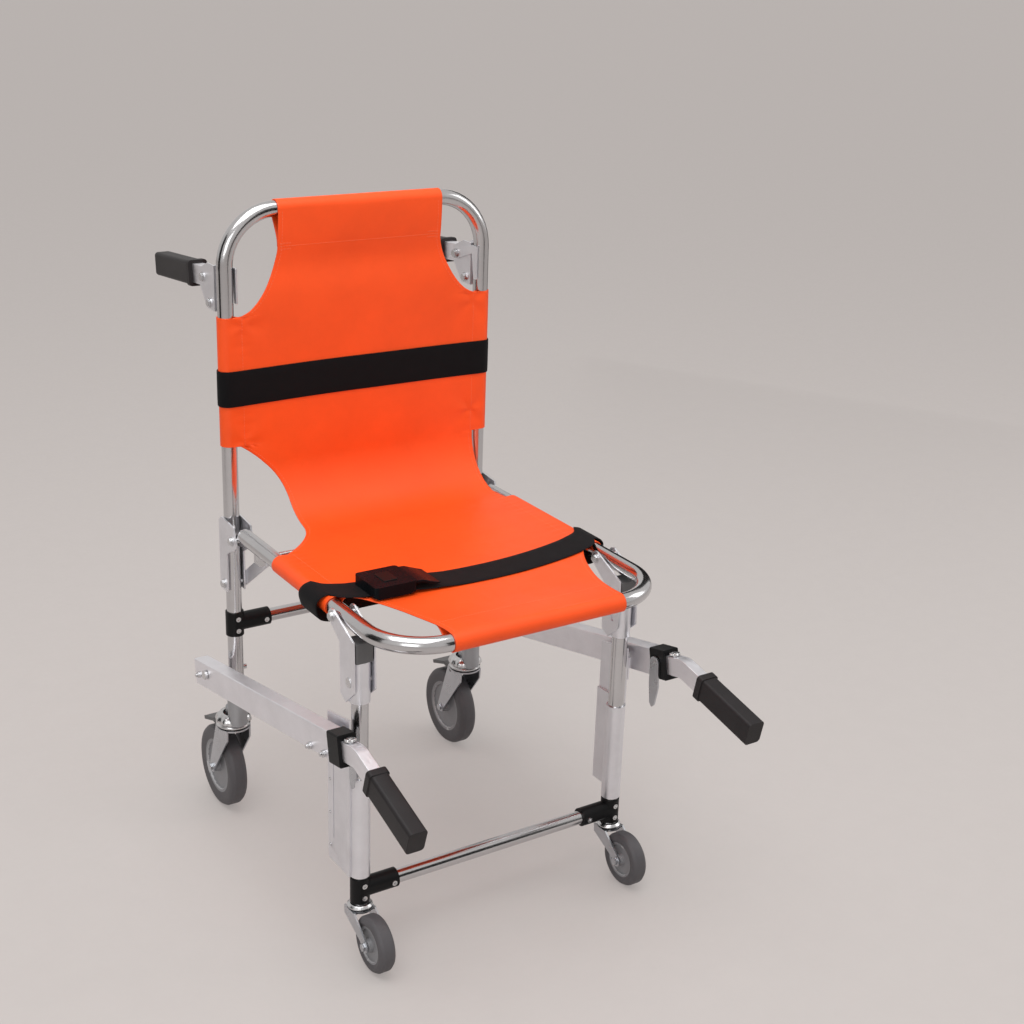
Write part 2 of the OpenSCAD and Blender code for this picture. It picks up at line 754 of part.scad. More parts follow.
// End loop of the belt in X and Z, from its upper to its lower run
loop_start = 6;
loop_ease = 4;
loop_shoulder = 14;
loop_round = 3;
loop_hip = 10;
loop_calf = 13;
loop_heel = 22;
loop_inner = 28;
loop_over = 2;
loop_path = [[half - loop_start, strap_z + web_t / 2], [half + loop_ease, strap_z + web_t / 2],
    [half + loop_shoulder, strap_z - loop_round], [loop_out, seat_z + loop_ease],
    [loop_out - web_t / 2, seat_z - loop_hip], [half + loop_calf, loop_low_z + loop_round],
    [half, loop_low_z], [half - loop_calf, loop_low_z + loop_round],
    [half - loop_heel, strap_low_z + web_t / 2],
    [half - loop_inner - loop_over, strap_low_z + web_t / 2]];

// Point of a path moved sideways by a distance
function aside(path, i, d) = let (a = path[max(i - 1, 0)], b = path[min(i + 1, len(path) - 1)],
    n = [a[1] - b[1], b[0] - a[0]] / norm(b - a)) path[i] + d * n;
module loop_2d() polygon(concat(
    [for (i = [0:len(loop_path) - 1]) aside(loop_path, i, web_t / 2)],
    [for (i = [len(loop_path) - 1:-1:0]) aside(loop_path, i, -web_t / 2)]));

// Plan of the upper run of the belt
module belt_plan() {
    mid = [for (i = [-curve_steps:curve_steps]) let (t = i / curve_steps)
        [half * t, -belt_y - belt_bow * pow(cos(90 * t), bow_power)]];
    polygon(concat([for (p = mid) p + [0, web_w / 2]],
        [for (i = [len(mid) - 1:-1:0]) mid[i] - [0, web_w / 2]]));
}

// Buckle with a shallow hollow for its release button
module buckle_body() color("black") place() translate([buckle_x, -buckle_y, strap_z + web_t])
    difference() {
        union() {
            linear_extrude(buckle_h) rounded(buckle_l, buckle_w, buckle_edge);
            translate([0, 0, -web_t - buckle_foot]) linear_extrude(web_t + buckle_foot + join)
                rounded(buckle_l - 2 * buckle_wall - buckle_foot_in, buckle_w, buckle_foot_edge);
        }
        translate([0, 0, buckle_h - buckle_button_h]) linear_extrude(buckle_h)
            rounded(buckle_button_l + 2 * gap, buckle_button_w + 2 * gap, button_corner);
    }

module buckle_button() color("dimgray") place()
    translate([buckle_x, -buckle_y, strap_z + web_t + buckle_h - buckle_button_h + button_float])
        linear_extrude(buckle_button_h - button_cap)
            rounded(buckle_button_l, buckle_button_w, button_corner - gap);

// Lock struts

// Strut from the rear leg to the stay rod, its upper end open for the rod
module lock_strut(left) color("lightgray") place() on_side(left) {
    stay = [-stay_y, stay_z];
    difference() {
        side_plate(strut_x, strut_x + strut_t) link_2d(strut_pivot, stay, strut_r);
        bar_x(strut_x - cut, strut_x + 2 * strut_t, strut_pivot, hole_r);
        side_plate(strut_x - cut, strut_x + 2 * strut_t) {
            translate(stay) circle(stay_r + cloth_gap);
            translate(stay) polygon([[-stay_r - cloth_gap, 0], [-stay_r - cut * 2, 2 * strut_r],
                [3 * strut_r, 2 * strut_r], [stay_r, -stay_r / 2]]);
        }
    }
}
module lock_strut_left() lock_strut(true);
module lock_strut_right() lock_strut(false);

// Front legs

module front_legs() color("silver") place() both() translate([half, -leg_y, leg_bottom_z])
    difference() {
        cylinder(r = tube_r, h = leg_top_z - leg_bottom_z);
        translate([0, 0, -cut]) cylinder(r = bore_r, h = leg_top_z);
    }

module front_crossbar() color("silver") place() crossbar(-leg_y, front_cross_z);

module front_clamps() color("black") place() both() difference() {
    clamp(-leg_y, front_cross_z);
    clamp_screws(-leg_y, front_cross_z);
}

// Places of the rivets on the leg profile, as shares of its height
rivet_shares = [0.12, 0.4, 0.68];
rivet_r = 2.2;
rivet_t = 0.8;
rivet_in = 6;
module leg_screws() color("gainsboro") place() both() {
    clamp_screws(-leg_y, front_cross_z);
    for (share = rivet_shares) bar_x(slot_plate_x + slot_plate_t - join,
        slot_plate_x + slot_plate_t + rivet_t, rivet_at(share), rivet_r);
}
function rivet_at(share) = [-wing_y - rivet_in,
    profile_low_z + share * (profile_high_z - profile_low_z)];

// Outline of the leg brackets: round the hinge bolt, and down beside the leg
knee_r = 10;
knee_side = 7;
knee_low = 4;
knee_top = 9;
shin_front = 12;
shin_over = 14;
shin_low = 38;
shin_toe = 8;
shin_end = 58;
shin_back = 22;
shin_heel = 50;
shin_neck = 20;
shin_throat = 26;

// Two cheeks from the leg's head up to the hinge bolt on the seat tube
module leg_brackets() color("lightgray") place() both() difference() {
    for (x = [half - bracket_out, half + bracket_in]) side_plate(x, x + plate_t) {
        translate(leg_pivot) circle(knee_r);
        polygon([leg_pivot + [knee_side, -knee_side], leg_pivot + [-knee_low, knee_top],
            [-leg_y - shin_front, seat_z - cheek_round],
            [-leg_y - shin_over, leg_top_z - shin_low], [-leg_y + shin_toe, leg_top_z - shin_end],
            [-leg_hinge_y - shin_back, leg_top_z - shin_heel],
            [-leg_hinge_y - shin_neck, seat_z - shin_throat]]);
    }
    for (at = [leg_pivot, leg_bolt]) bar_x(half - tube_d, half + tube_d, at, pin_r);
}

// Grey buffer on top of each front leg
module leg_buffers() color("gray") place() both()
    translate([half, -leg_y, leg_top_z]) linear_extrude(buffer_h)
        rounded(buffer_x, buffer_y, buffer_edge);

// Extruded profile round the leg with a flat wing towards the back
module leg_profiles() color("lightgray") place() both() {
    leg_profile(profile_low_z, profile_mid_z, wing_y);
    leg_profile(leg_top_z - profile_head, leg_top_z, leg_y - short_wing);
}
module leg_profile(z0, z1, y_back) difference() {
    union() {
        translate([half, -leg_y, z0]) cylinder(r = profile_r, h = z1 - z0);
        translate([half + profile_r - wing_t, -leg_y, z0]) cube([wing_t, leg_y - y_back, z1 - z0]);
    }
    translate([half, -leg_y, z0 - cut]) cylinder(r = tube_r, h = z1 - z0 + 2 * cut);
    bar_x(half, half + tube_d, leg_bolt, pin_r);
}

// Slot in which the rail's pin runs
module slot_hole() side_plate(half + tube_r, half + 2 * tube_d)
    link_2d(rail_pin, rail_pin + [0, slot_travel], slot_r);

module slot_plates() color("gainsboro") place() both() difference() {
    side_plate(slot_plate_x, slot_plate_x + slot_plate_t)
        polygon([[-wing_y, profile_low_z], [-wing_y, profile_high_z + slot_plate_rise],
            [-slot_plate_front, profile_high_z + slot_plate_peak],
            [-slot_plate_front, profile_low_z]]);
    slot_hole();
    side_plate(slot_plate_x + slot_plate_t - groove_t, slot_plate_x + 2 * slot_plate_t)
        translate([-wing_y - groove_y, profile_low_z + groove_z]) square([groove_w, groove_h]);
    for (share = rivet_shares) bar_x(slot_plate_x + slot_plate_t - join,
        slot_plate_x + 2 * slot_plate_t, rivet_at(share), rivet_r);
}

// Bolts of the front legs: hinge bolts, lower bracket bolts and stub pins
module leg_hinge_bolts() color("gainsboro") place() both() {
    bolt(half - bracket_out, half + bracket_out, leg_pivot);
    bar_x(half + tube_r, half + bracket_out + low_head_t, leg_bolt, pin_r);
    bar_x(half + bracket_out, half + bracket_out + low_head_t, leg_bolt, head_r);
}

module front_caster_stems() color("gainsboro") place() both()
    translate([half, -leg_y, 0]) caster_stem(front_cap_r, front_cap_z, front_cap_t, front_stem_h);

// Side rails

// Rounded edges of the rails, and the outline of the boss round the pin
rail_edge = 2;
lug_back = 56;
lug_slant = 2;
lug_heel = 8;
lug_below = 10;
lug_front = 9;
lug_above = 24;
lug_back_above = 14;

module rail(left) color("lightgray") place() on_side(left) difference() {
    front = rail_len + reach(left);
    union() {
        along_rail(left) difference() {
            long_block(rail_t, rail_h, -rail_tail, front, rail_edge);
            long_block(rail_t - 2 * rail_wall, rail_h - 2 * rail_wall, rail_wall - rail_tail,
                front + cut, rail_edge / 2);
        }
        side_plate(rail_in - lug_t, rail_in) polygon([
            rail_pin + [lug_back, -lug_slant], rail_pin + [lug_heel, -lug_below],
            rail_pin - [lug_front, lug_below], rail_pin + [-lug_front, lug_above],
            rail_pin + [lug_back, lug_back_above]]);
    }
    bar_x(rail_in - cut, rail_in + rail_t + cut, rail_pivot, hole_r);
    bar_x(rail_in - rail_t, rail_in + rail_wall, rail_pin, pin_r);
}
module rail_left() rail(true);
module rail_right() rail(false);

// Black collar on the front end of a rail, through which the handle bar slides
module rail_collar(left) color("black") place() on_side(left) along_rail(left, reach(left))
    difference() {
        long_block(rail_t + 2 * collar_wall, rail_h + 2 * collar_wall, rail_len - collar_seat,
            rail_len - collar_seat + collar_len, rail_edge + join);
        long_block(rail_t, rail_h, rail_len - collar_len, rail_len, rail_edge);
        translate([-bar_t / 2 - slide_fit, -rail_len - collar_len, -bar_h / 2 - slide_fit])
            cube([bar_t + 2 * slide_fit, collar_len + cut, bar_h + 2 * slide_fit]);
        lever_pin();
    }
module rail_collar_left() rail_collar(true);
module rail_collar_right() rail_collar(false);

// Pin of the hook lever, its place measured along the rail
lever_beyond = 2;
lever_up = 2;
lever_at = [-rail_len - lever_beyond, lever_up];
lever_pin_r = 3;
module lever_pin() translate([lever_x - rail_x, lever_at[0], lever_at[1]])
    rotate([0, 90, 0]) cylinder(r = lever_pin_r, h = rail_in - lever_x);

// Rail pin in the leg's slot, lever pin, and the bolt heads on the rail's face
pin_room = 1;
face_bolt_rear = 66;
face_bolt_front = 26;
face_bolt_low = 13;
face_bolt_tail = 30;
module rail_bolts(left) color("gainsboro") place() on_side(left) {
    bar_x(half + tube_r + pin_room, rail_in + rail_wall - join, rail_pin, pin_r);
    along_rail(left, reach(left)) lever_pin();
    along_rail(left) for (p = [[face_bolt_rear - rail_len, -face_bolt_low],
        [face_bolt_front - rail_len, -face_bolt_low], [face_bolt_tail, -lever_up]])
        translate([rail_t / 2, p[0], p[1]]) rotate([0, 90, 0]) {
            cylinder(r = head_r * 0.7, h = head_t);
            translate([0, 0, head_t - join]) cylinder(r = pin_r * 0.7, h = pin_r);
        }
}
module rail_bolts_left() rail_bolts(true);
module rail_bolts_right() rail_bolts(false);

// Hook lever that hangs inside the front end of a rail
lever_r = 9;
lever_belly = 11;
lever_tip = 5;
lever_len = 66;
module rail_lever(left) color("silver") place() on_side(left) along_rail(left, reach(left))
    translate([lever_x - rail_x, lever_at[0], lever_at[1]]) rotate([slope(left), 0, 0])
        difference() {
            side_plate(0, lever_t) {
                circle(lever_r);
                polygon([[-lever_r, 0], [-lever_belly, -lever_len / 2],
                    [-lever_tip, lever_tip - lever_len], [0, -lever_len],
                    [lever_tip, lever_tip - lever_len], [lever_r - join, -lever_len / 2],
                    [lever_r, 0]]);
            }
            bar_x(-cut, lever_t + cut, [0, 0], lever_pin_r + pin_fit);
        }
module rail_lever_left() rail_lever(true);
module rail_lever_right() rail_lever(false);

// Front handles

// Place of the bent end of a front handle: local -Y runs forward along the grip
module along_grip(left) along_rail(left, reach(left)) translate([0, -bend_at, -bar_bend_r])
    rotate([bar_bend(left), 0, 0]) translate([0, 0, bar_bend_r]) children();

// Side view of a handle bar in the rail's frame: straight, bent down, straight again
bend_steps = 12;
function on_bend(a, r) = [-bend_at - r * sin(a), r * cos(a) - bar_bend_r];
function bar_edge(left, r) = [for (i = [0:bend_steps])
    on_bend(bar_bend(left) * i / bend_steps, r)];
function bar_end(left, r) = on_bend(bar_bend(left), r)
    - (front_grip_start + grip_socket) * [cos(bar_bend(left)), sin(bar_bend(left))];
function bar_outline(left) = let (r_top = bar_bend_r + bar_h / 2, r_low = bar_bend_r - bar_h / 2,
    low = bar_edge(left, r_low)) concat([[-bar_tail, bar_h / 2]], bar_edge(left, r_top),
    [bar_end(left, r_top), bar_end(left, r_low)],
    [for (i = [bend_steps:-1:0]) low[i]], [[-bar_tail, -bar_h / 2]]);

module front_handle(left) color("silver") place() on_side(left) along_rail(left, reach(left))
    difference() {
        side_plate(-bar_t / 2, bar_t / 2) polygon(bar_outline(left));
        translate([0, -button_at, bar_h / 2 - button_h])
            cylinder(r = button_r + pin_fit, h = button_h + cut);
    }
module front_handle_left() front_handle(true);
module front_handle_right() front_handle(false);

module front_grip(left) color("dimgray") place() on_side(left) along_grip(left)
    translate([0, -front_grip_start, 0]) grip(front_grip_len);
module front_grip_left() front_grip(true);
module front_grip_right() front_grip(false);

// Spring button that holds a front handle at its length
module handle_button(left) color("silver") place() on_side(left) along_rail(left, reach(left))
    translate([0, -button_at, bar_h / 2 - button_h + button_rise]) {
        cylinder(r = button_r, h = button_h);
        translate([0, 0, button_h - join]) cylinder(r = button_r * 0.7, h = button_cap);
    }
module handle_button_left() handle_button(true);
module handle_button_right() handle_button(false);

// Casters

// Fork in its own frame: stem on Z, wheel trailing towards +Y, top plate at z_top
module fork(z_top, trail, axle_z, inner_w, r_top) {
    plate_z = z_top - fork_t;
    difference() {
        union() {
            translate([0, 0, plate_z]) cylinder(r = r_top, h = fork_t);
            translate([-inner_w / 2 - fork_t, -r_top / 2, plate_z])
                cube([inner_w + 2 * fork_t, r_top * 1.3, fork_t]);
            for (x = [-inner_w / 2 - fork_t, inner_w / 2]) side_plate(x, x + fork_t) {
                polygon([[-r_top * 0.75, z_top], [r_top * 0.8, z_top],
                    [trail + axle_d, axle_z + axle_d / 2], [trail, axle_z - axle_d],
                    [trail - axle_d, axle_z], [-r_top * 0.7, z_top - r_top * 0.7]]);
                translate([trail, axle_z]) circle(axle_d);
            }
        }
        translate([0, 0, plate_z - cut]) cylinder(r = hole_r, h = fork_t + 2 * cut);
        bar_x(-inner_w, inner_w, [trail, axle_z], axle_d / 2);
    }
    bar_x(-inner_w / 2 - fork_t, inner_w / 2 + fork_t, [trail, axle_z], axle_d / 2);
    both() bolt_head(inner_w / 2 + fork_t - join, [trail, axle_z]);
}

// Wheel on the X axis: grey hub with a raised ring, and its tyre
module wheel(d, w, inner_w) rotate([0, 90, 0]) {
    hub_r = d * 0.33;
    tread = w * 0.16;
    difference() {
        rotate_extrude() polygon([[0, inner_w / 2 - gap], [axle_d, inner_w / 2 - gap],
            [axle_d * 1.2, w * 0.3], [hub_r * 0.86, w * 0.3], [hub_r * 0.9, w * 0.42],
            [hub_r, w * 0.42], [hub_r, -w * 0.42], [hub_r * 0.9, -w * 0.42],
            [hub_r * 0.86, -w * 0.3], [axle_d * 1.2, -w * 0.3], [axle_d, gap - inner_w / 2],
            [0, gap - inner_w / 2]]);
        translate([0, 0, -inner_w]) cylinder(r = axle_d / 2 + pin_fit, h = 2 * inner_w);
    }
    rotate_extrude($fn = 96) polygon([[hub_r, w * 0.42], [d / 2 - 2 * tread, w / 2],
        [d / 2 - tread * 0.7, w / 2 - tread * 0.5], [d / 2, w / 2 - tread * 1.5],
        [d / 2, tread * 1.5 - w / 2], [d / 2 - tread * 0.7, tread * 0.5 - w / 2],
        [d / 2 - 2 * tread, -w / 2], [hub_r, -w * 0.42]]);
}

rear_wheel_room = 5;
front_wheel_room = 4;
rear_inner_w = rear_wheel_w + rear_wheel_room;
front_inner_w = front_wheel_w + front_wheel_room;

module rear_fork(left) color("lightgray") place() on_side(left)
    translate([half, rear_stem_y, 0]) difference() {
        fork(rear_fork_z, rear_trail, rear_axle_z, rear_inner_w, rear_cap_r);
        bar_x(-rear_inner_w, rear_inner_w, brake_at, lever_pin_r);
    }
module rear_fork_left() rear_fork(true);
module rear_fork_right() rear_fork(false);

// Place of the brake's pivot behind the stem
brake_y = 14;
brake_drop = 9;
brake_at = [brake_y, rear_cap_z - brake_drop];
// Outline of the pedal from its pivot back
pedal_r = 4;
pedal_bend = 25;
pedal_bend_top = 5;
pedal_len = 60;
pedal_drop = 12;
pedal_t = 5;
pedal_slant = 2;

// Brake pedal on the back of a rear fork
module rear_brake(left) color("gray") place() on_side(left)
    translate([half, rear_stem_y, 0]) {
        w = rear_inner_w - 2 * gap;
        bar_x(-rear_inner_w / 2 - fork_t, rear_inner_w / 2 + fork_t, brake_at,
            lever_pin_r - pin_fit);
        side_plate(-w / 2, w / 2) polygon([brake_at + [-pedal_r, join - pedal_r],
            brake_at + [pedal_r, -pedal_r], brake_at + [pedal_bend, -join],
            brake_at + [pedal_len - pedal_slant, -pedal_drop], brake_at + [pedal_len, pedal_t - pedal_drop],
            brake_at + [pedal_bend, pedal_bend_top], brake_at + [-pedal_r, pedal_r - join]]);
    }
module rear_brake_left() rear_brake(true);
module rear_brake_right() rear_brake(false);

module rear_wheel(left) color("dimgray") place() on_side(left)
    translate([half, rear_axle_y, rear_axle_z]) wheel(rear_wheel_d, rear_wheel_w, rear_inner_w);
module rear_wheel_left() rear_wheel(true);
module rear_wheel_right() rear_wheel(false);

module front_fork(left) color("lightgray") place() on_side(left)
    translate([half, -leg_y, 0]) rotate([0, 0, 180])
        fork(front_fork_z, front_trail, front_axle_z, front_inner_w, front_cap_r);
module front_fork_left() front_fork(true);
module front_fork_right() front_fork(false);

module front_wheel(left) color("dimgray") place() on_side(left)
    translate([half, -leg_y - front_trail, front_axle_z])
        wheel(front_wheel_d, front_wheel_w, front_inner_w);
module front_wheel_left() front_wheel(true);
module front_wheel_right() front_wheel(false);

back_hoop();
back_crossbar();
back_clamps();
back_frame_screws();
seat_brackets();
back_sling();
back_strap();
rear_foot_blocks();
rear_caster_stems();
rail_pivot_pins();
handle_brackets();
rear_handle_left();
rear_handle_right();
rear_grip_left();
rear_grip_right();
handle_latch_left();
handle_latch_right();
seat_hoop();
seat_stay_rod();
seat_sling();
lap_belt();
buckle_body();
buckle_button();
lock_strut_left();
lock_strut_right();
front_legs();
front_crossbar();
front_clamps();
leg_screws();
leg_brackets();
leg_buffers();
leg_profiles();
slot_plates();
leg_hinge_bolts();
front_caster_stems();
rail_left();
rail_right();
rail_collar_left();
rail_collar_right();
rail_bolts_left();
rail_bolts_right();
front_handle_left();
front_handle_right();
front_grip_left();
front_grip_right();
handle_button_left();
handle_button_right();
rail_lever_left();
rail_lever_right();
rear_fork_left();
rear_fork_right();
rear_wheel_left();
rear_wheel_right();
rear_brake_left();
rear_brake_right();
front_fork_left();
front_fork_right();
front_wheel_left();
front_wheel_right();
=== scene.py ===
import math

import bmesh
import bpy
from mathutils import Matrix, Vector


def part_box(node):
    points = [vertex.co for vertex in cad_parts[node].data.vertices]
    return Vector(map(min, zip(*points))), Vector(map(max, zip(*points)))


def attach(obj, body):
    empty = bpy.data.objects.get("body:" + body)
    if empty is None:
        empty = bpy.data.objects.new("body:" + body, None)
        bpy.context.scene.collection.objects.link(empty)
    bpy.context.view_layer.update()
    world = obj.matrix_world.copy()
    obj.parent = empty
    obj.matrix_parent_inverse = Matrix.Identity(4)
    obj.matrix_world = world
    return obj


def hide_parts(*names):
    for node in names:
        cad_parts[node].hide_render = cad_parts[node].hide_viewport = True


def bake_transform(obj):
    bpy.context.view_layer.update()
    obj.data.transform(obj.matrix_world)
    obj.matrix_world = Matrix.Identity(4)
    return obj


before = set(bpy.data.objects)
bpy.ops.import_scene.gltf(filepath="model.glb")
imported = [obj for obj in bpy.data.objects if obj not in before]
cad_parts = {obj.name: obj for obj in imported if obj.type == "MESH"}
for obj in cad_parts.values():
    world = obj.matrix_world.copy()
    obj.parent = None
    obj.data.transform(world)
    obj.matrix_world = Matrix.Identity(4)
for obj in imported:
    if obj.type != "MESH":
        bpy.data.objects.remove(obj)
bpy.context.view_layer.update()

# Back frame tube
#
# One aluminium tube, 22 mm thick, bent into a tall portal that forms both rear legs and the
# top bar. It is drawn, bent on a mandrel and polished, so it keeps fine lengthwise lines.


def paint(red, green, blue):
    """A colour given as it is seen, 0 to 255, in the light values a shader takes."""
    seen = [value / 255 for value in (red, green, blue)]
    return tuple(v / 12.92 if v <= 0.04045 else ((v + 0.055) / 1.055) ** 2.4 for v in seen) + (1,)


def add_node(tree, kind, **values):
    """A shader or geometry node with its named sockets filled in."""
    made = tree.nodes.new(kind)
    for name, value in values.items():
        made.inputs[name.replace("_", " ")].default_value = value
    return made


def blank_finish(name, shine):
    """A new finish with its node tree and its surface. shine is how strongly it mirrors."""
    finish = bpy.data.materials.new(name)
    finish.use_nodes = True
    skin = finish.node_tree.nodes["Principled BSDF"]
    skin.inputs["Specular IOR Level"].default_value = shine
    return finish, finish.node_tree, skin


def vary_shade(tree, skin, level, colour, dark, light, start=0.0, end=1.0):
    """Runs the colour from a darker to a lighter shade as the level goes from start to end."""
    ramp = tree.nodes.new("ShaderNodeValToRGB")
    for stop, place, shade in zip(ramp.color_ramp.elements, (start, end), (dark, light)):
        stop.position = place
        stop.color = tuple(min(1, c * shade) for c in colour[:3]) + (1,)
    tree.links.new(level, ramp.inputs["Fac"])
    tree.links.new(ramp.outputs["Color"], skin.inputs["Base Color"])


def vary_gloss(tree, skin, level, low, high, start=0.0, end=1.0):
    """Runs the roughness from low to high as the level goes from start to end."""
    matt = add_node(tree, "ShaderNodeMapRange", From_Min=start, From_Max=end, To_Min=low,
                    To_Max=high)
    tree.links.new(level, matt.inputs["Value"])
    tree.links.new(matt.outputs["Result"], skin.inputs["Roughness"])


def add_relief(tree, onto, level, strength, depth):
    """Fine relief from a level, under a surface or under another relief."""
    bump = add_node(tree, "ShaderNodeBump", Strength=strength, Distance=depth)
    tree.links.new(level, bump.inputs["Height"])
    tree.links.new(bump.outputs["Normal"], onto.inputs["Normal"])
    return bump


def grained(name, colour, metal=0.0, gloss=0.5, grain=900.0, drawn=(1, 1, 1), patch=0.07,
            relief=0.15, depth=0.0001, shine=0.5):
    """A finish whose shade, gloss and relief vary: broad handling marks over a fine grain.
    gloss is the roughness, patch how far the marks go, and drawn stretches the grain along the
    way a surface was worked."""
    finish, tree, skin = blank_finish(name, shine)
    skin.inputs["Metallic"].default_value = metal
    place = tree.nodes.new("ShaderNodeTexCoord")
    worked = add_node(tree, "ShaderNodeMapping", Scale=drawn)
    tree.links.new(place.outputs["Object"], worked.inputs["Vector"])
    marks = add_node(tree, "ShaderNodeTexNoise", Scale=22.0, Detail=4.0, Roughness=0.6)
    tree.links.new(place.outputs["Object"], marks.inputs["Vector"])
    fine = add_node(tree, "ShaderNodeTexNoise", Scale=grain, Detail=3.0, Roughness=0.55)
    tree.links.new(worked.outputs["Vector"], fine.inputs["Vector"])
    vary_shade(tree, skin, marks.outputs["Fac"], colour, 1 - patch, 1 + patch, 0.3, 0.72)
    vary_gloss(tree, skin, fine.outputs["Fac"], gloss * 0.82, min(1, gloss * 1.2), 0.3, 0.7)
    add_relief(tree, skin, fine.outputs["Fac"], relief, depth)
    return finish


def linked(name, data):
    """A new object with this mesh, lamp or camera, in the scene."""
    made = bpy.data.objects.new(name, data)
    bpy.context.scene.collection.objects.link(made)
    return made


def piece_from(name, shape, finish, crease=None):
    """A piece in the scene from a shape. Edges that turn more than crease stay crisp."""
    mesh = bpy.data.meshes.new(name)
    shape.to_mesh(mesh)
    shape.free()
    if crease:
        mesh.set_sharp_from_angle(angle=math.radians(crease))
    mesh.materials.append(finish)
    return linked(name, mesh)


def break_edges(piece, edge, crease, steps):
    """Rounds the edges of a piece a little, as tumbling or moulding leaves them."""
    broken = piece.modifiers.new("broken_edges", "BEVEL")
    broken.width = edge
    broken.segments = steps
    broken.limit_method = "ANGLE"
    broken.angle_limit = math.radians(crease)
    broken.harden_normals = True


solid_crease = 32


def finished(node, body, finish, edge, steps=2):
    """A merged copy of one solid with smooth curved faces and softly broken edges, on its body."""
    shape = bmesh.new()
    shape.from_mesh(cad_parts[node].data)
    bmesh.ops.remove_doubles(shape, verts=shape.verts, dist=2e-6)
    bmesh.ops.dissolve_degenerate(shape, edges=shape.edges, dist=1e-6)
    bmesh.ops.dissolve_limit(shape, verts=shape.verts, edges=shape.edges,
                             angle_limit=math.radians(0.4))
    for face in shape.faces:
        face.smooth = True
    piece = piece_from(node + "_finished", shape, finish, solid_crease)
    break_edges(piece, edge, solid_crease, steps)
    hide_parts(node)
    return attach(piece, body)


polished_tube = grained("polished_aluminium_tube", paint(200, 199, 200), metal=1.0, gloss=0.17,
                        grain=700.0, patch=0.05, relief=0.08)
finished("back_hoop", "back_frame", polished_tube, edge=0.0004)

tube_low, tube_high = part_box("back_hoop")
back_y = (tube_low.y + tube_high.y) / 2
tube_radius = (tube_high.y - tube_low.y) / 2
half_width = (tube_high.x - tube_low.x) / 2 - tube_radius
top_bar_z = tube_high.z - tube_radius

# Crossbars and their clamps
#
# Thin polished tubes run between the legs, front and rear. Each end sits in a black nylon
# clamp moulded in one piece, pressed over the leg and held by three small ringed screws.

finished("back_crossbar", "back_frame", polished_tube, edge=0.0003)
finished("front_crossbar", "front_legs", polished_tube, edge=0.0003)

black_nylon = grained("black_nylon", paint(17, 17, 18), gloss=0.42, grain=1400.0, patch=0.2,
                      relief=0.3, depth=0.00015, shine=0.16)
finished("back_clamps", "back_frame", black_nylon, edge=0.0014, steps=3)
finished("front_clamps", "front_legs", black_nylon, edge=0.0014, steps=3)

# Screws, bolts and pins
#
# Zinc plated steel hexagon bolts, nuts, rivets and ringed screws. They clamp the brackets and
# plates to the tubes, and some are the pins that the folding parts turn on.

bright_steel = grained("plated_fasteners", paint(205, 205, 206), metal=1.0, gloss=0.24,
                       grain=1600.0, patch=0.12, relief=0.2)
for fixings, body in (("back_frame_screws", "back_frame"), ("rail_pivot_pins", "back_frame"),
                      ("leg_screws", "front_legs"), ("leg_hinge_bolts", "front_legs"),
                      ("rail_bolts_left", "rail_left"), ("rail_bolts_right", "rail_right"),
                      ("rear_caster_stems", "back_frame"),
                      ("front_caster_stems", "front_legs"), ("seat_stay_rod", "seat_frame")):
    finished(fixings, body, bright_steel, edge=0.00035)

# Pressed brackets and plates
#
# Pieces of aluminium and zinc plated sheet, pressed and bent: the channels that carry the
# seat hinge and the rear handles, the cheeks and slotted plates of the front legs, the struts.

satin_plate = grained("satin_plate", paint(230, 230, 234), metal=1.0, gloss=0.38, grain=520.0,
                      drawn=(1, 1, 0.08), patch=0.06, relief=0.14)
plated_sheet = grained("zinc_plated_sheet", paint(188, 190, 194), metal=1.0, gloss=0.3,
                       grain=60.0, patch=0.1, relief=0.1, depth=0.0003)
for plate, body, slot in (("seat_brackets", "back_frame", "plate"),
                          ("handle_brackets", "back_frame", "zinc"),
                          ("leg_brackets", "front_legs", "plate"),
                          ("leg_profiles", "front_legs", "plate"),
                          ("slot_plates", "front_legs", "plate")):
    finished(plate, body, satin_plate, edge=0.0005)
for side in ("left", "right"):
    finished("lock_strut_" + side, "lock_strut_" + side, satin_plate, edge=0.0005)
    finished("rail_lever_" + side, "rail_lever_" + side, plated_sheet, edge=0.0005)

cast_grey = grained("cast_foot", paint(168, 170, 173), metal=1.0, gloss=0.42, grain=420.0,
                    patch=0.1, relief=0.35, depth=0.0002)
finished("rear_foot_blocks", "back_frame", cast_grey, edge=0.0012, steps=3)

grey_nylon = grained("grey_nylon", paint(84, 84, 85), gloss=0.5, grain=1100.0, patch=0.14,
                     relief=0.3, depth=0.00015)
finished("leg_buffers", "front_legs", grey_nylon, edge=0.001, steps=3)

# Seat frame and front legs
#
# The seat frame is the same polished tube bent into a U that lies flat. The straight front
# legs hang from it on hinge bolts between two cheeks.

finished("seat_hoop", "seat_frame", polished_tube, edge=0.0004)
finished("front_legs", "front_legs", polished_tube, edge=0.0004)

webbing_thick = 0.0015
belt_inside = 0.0129  # inner side of the lap belt above the axis of the seat tubes
front_bar_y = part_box("seat_hoop")[0].y + tube_radius
seat_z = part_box("lap_belt")[1].z - webbing_thick - belt_inside

# Sling of the seat and back
#
# One panel of orange coated cloth, cut out at the corners. Its sides and ends are turned back
# round the tubes and stitched to themselves as sleeves, so it hangs between them like a hammock.

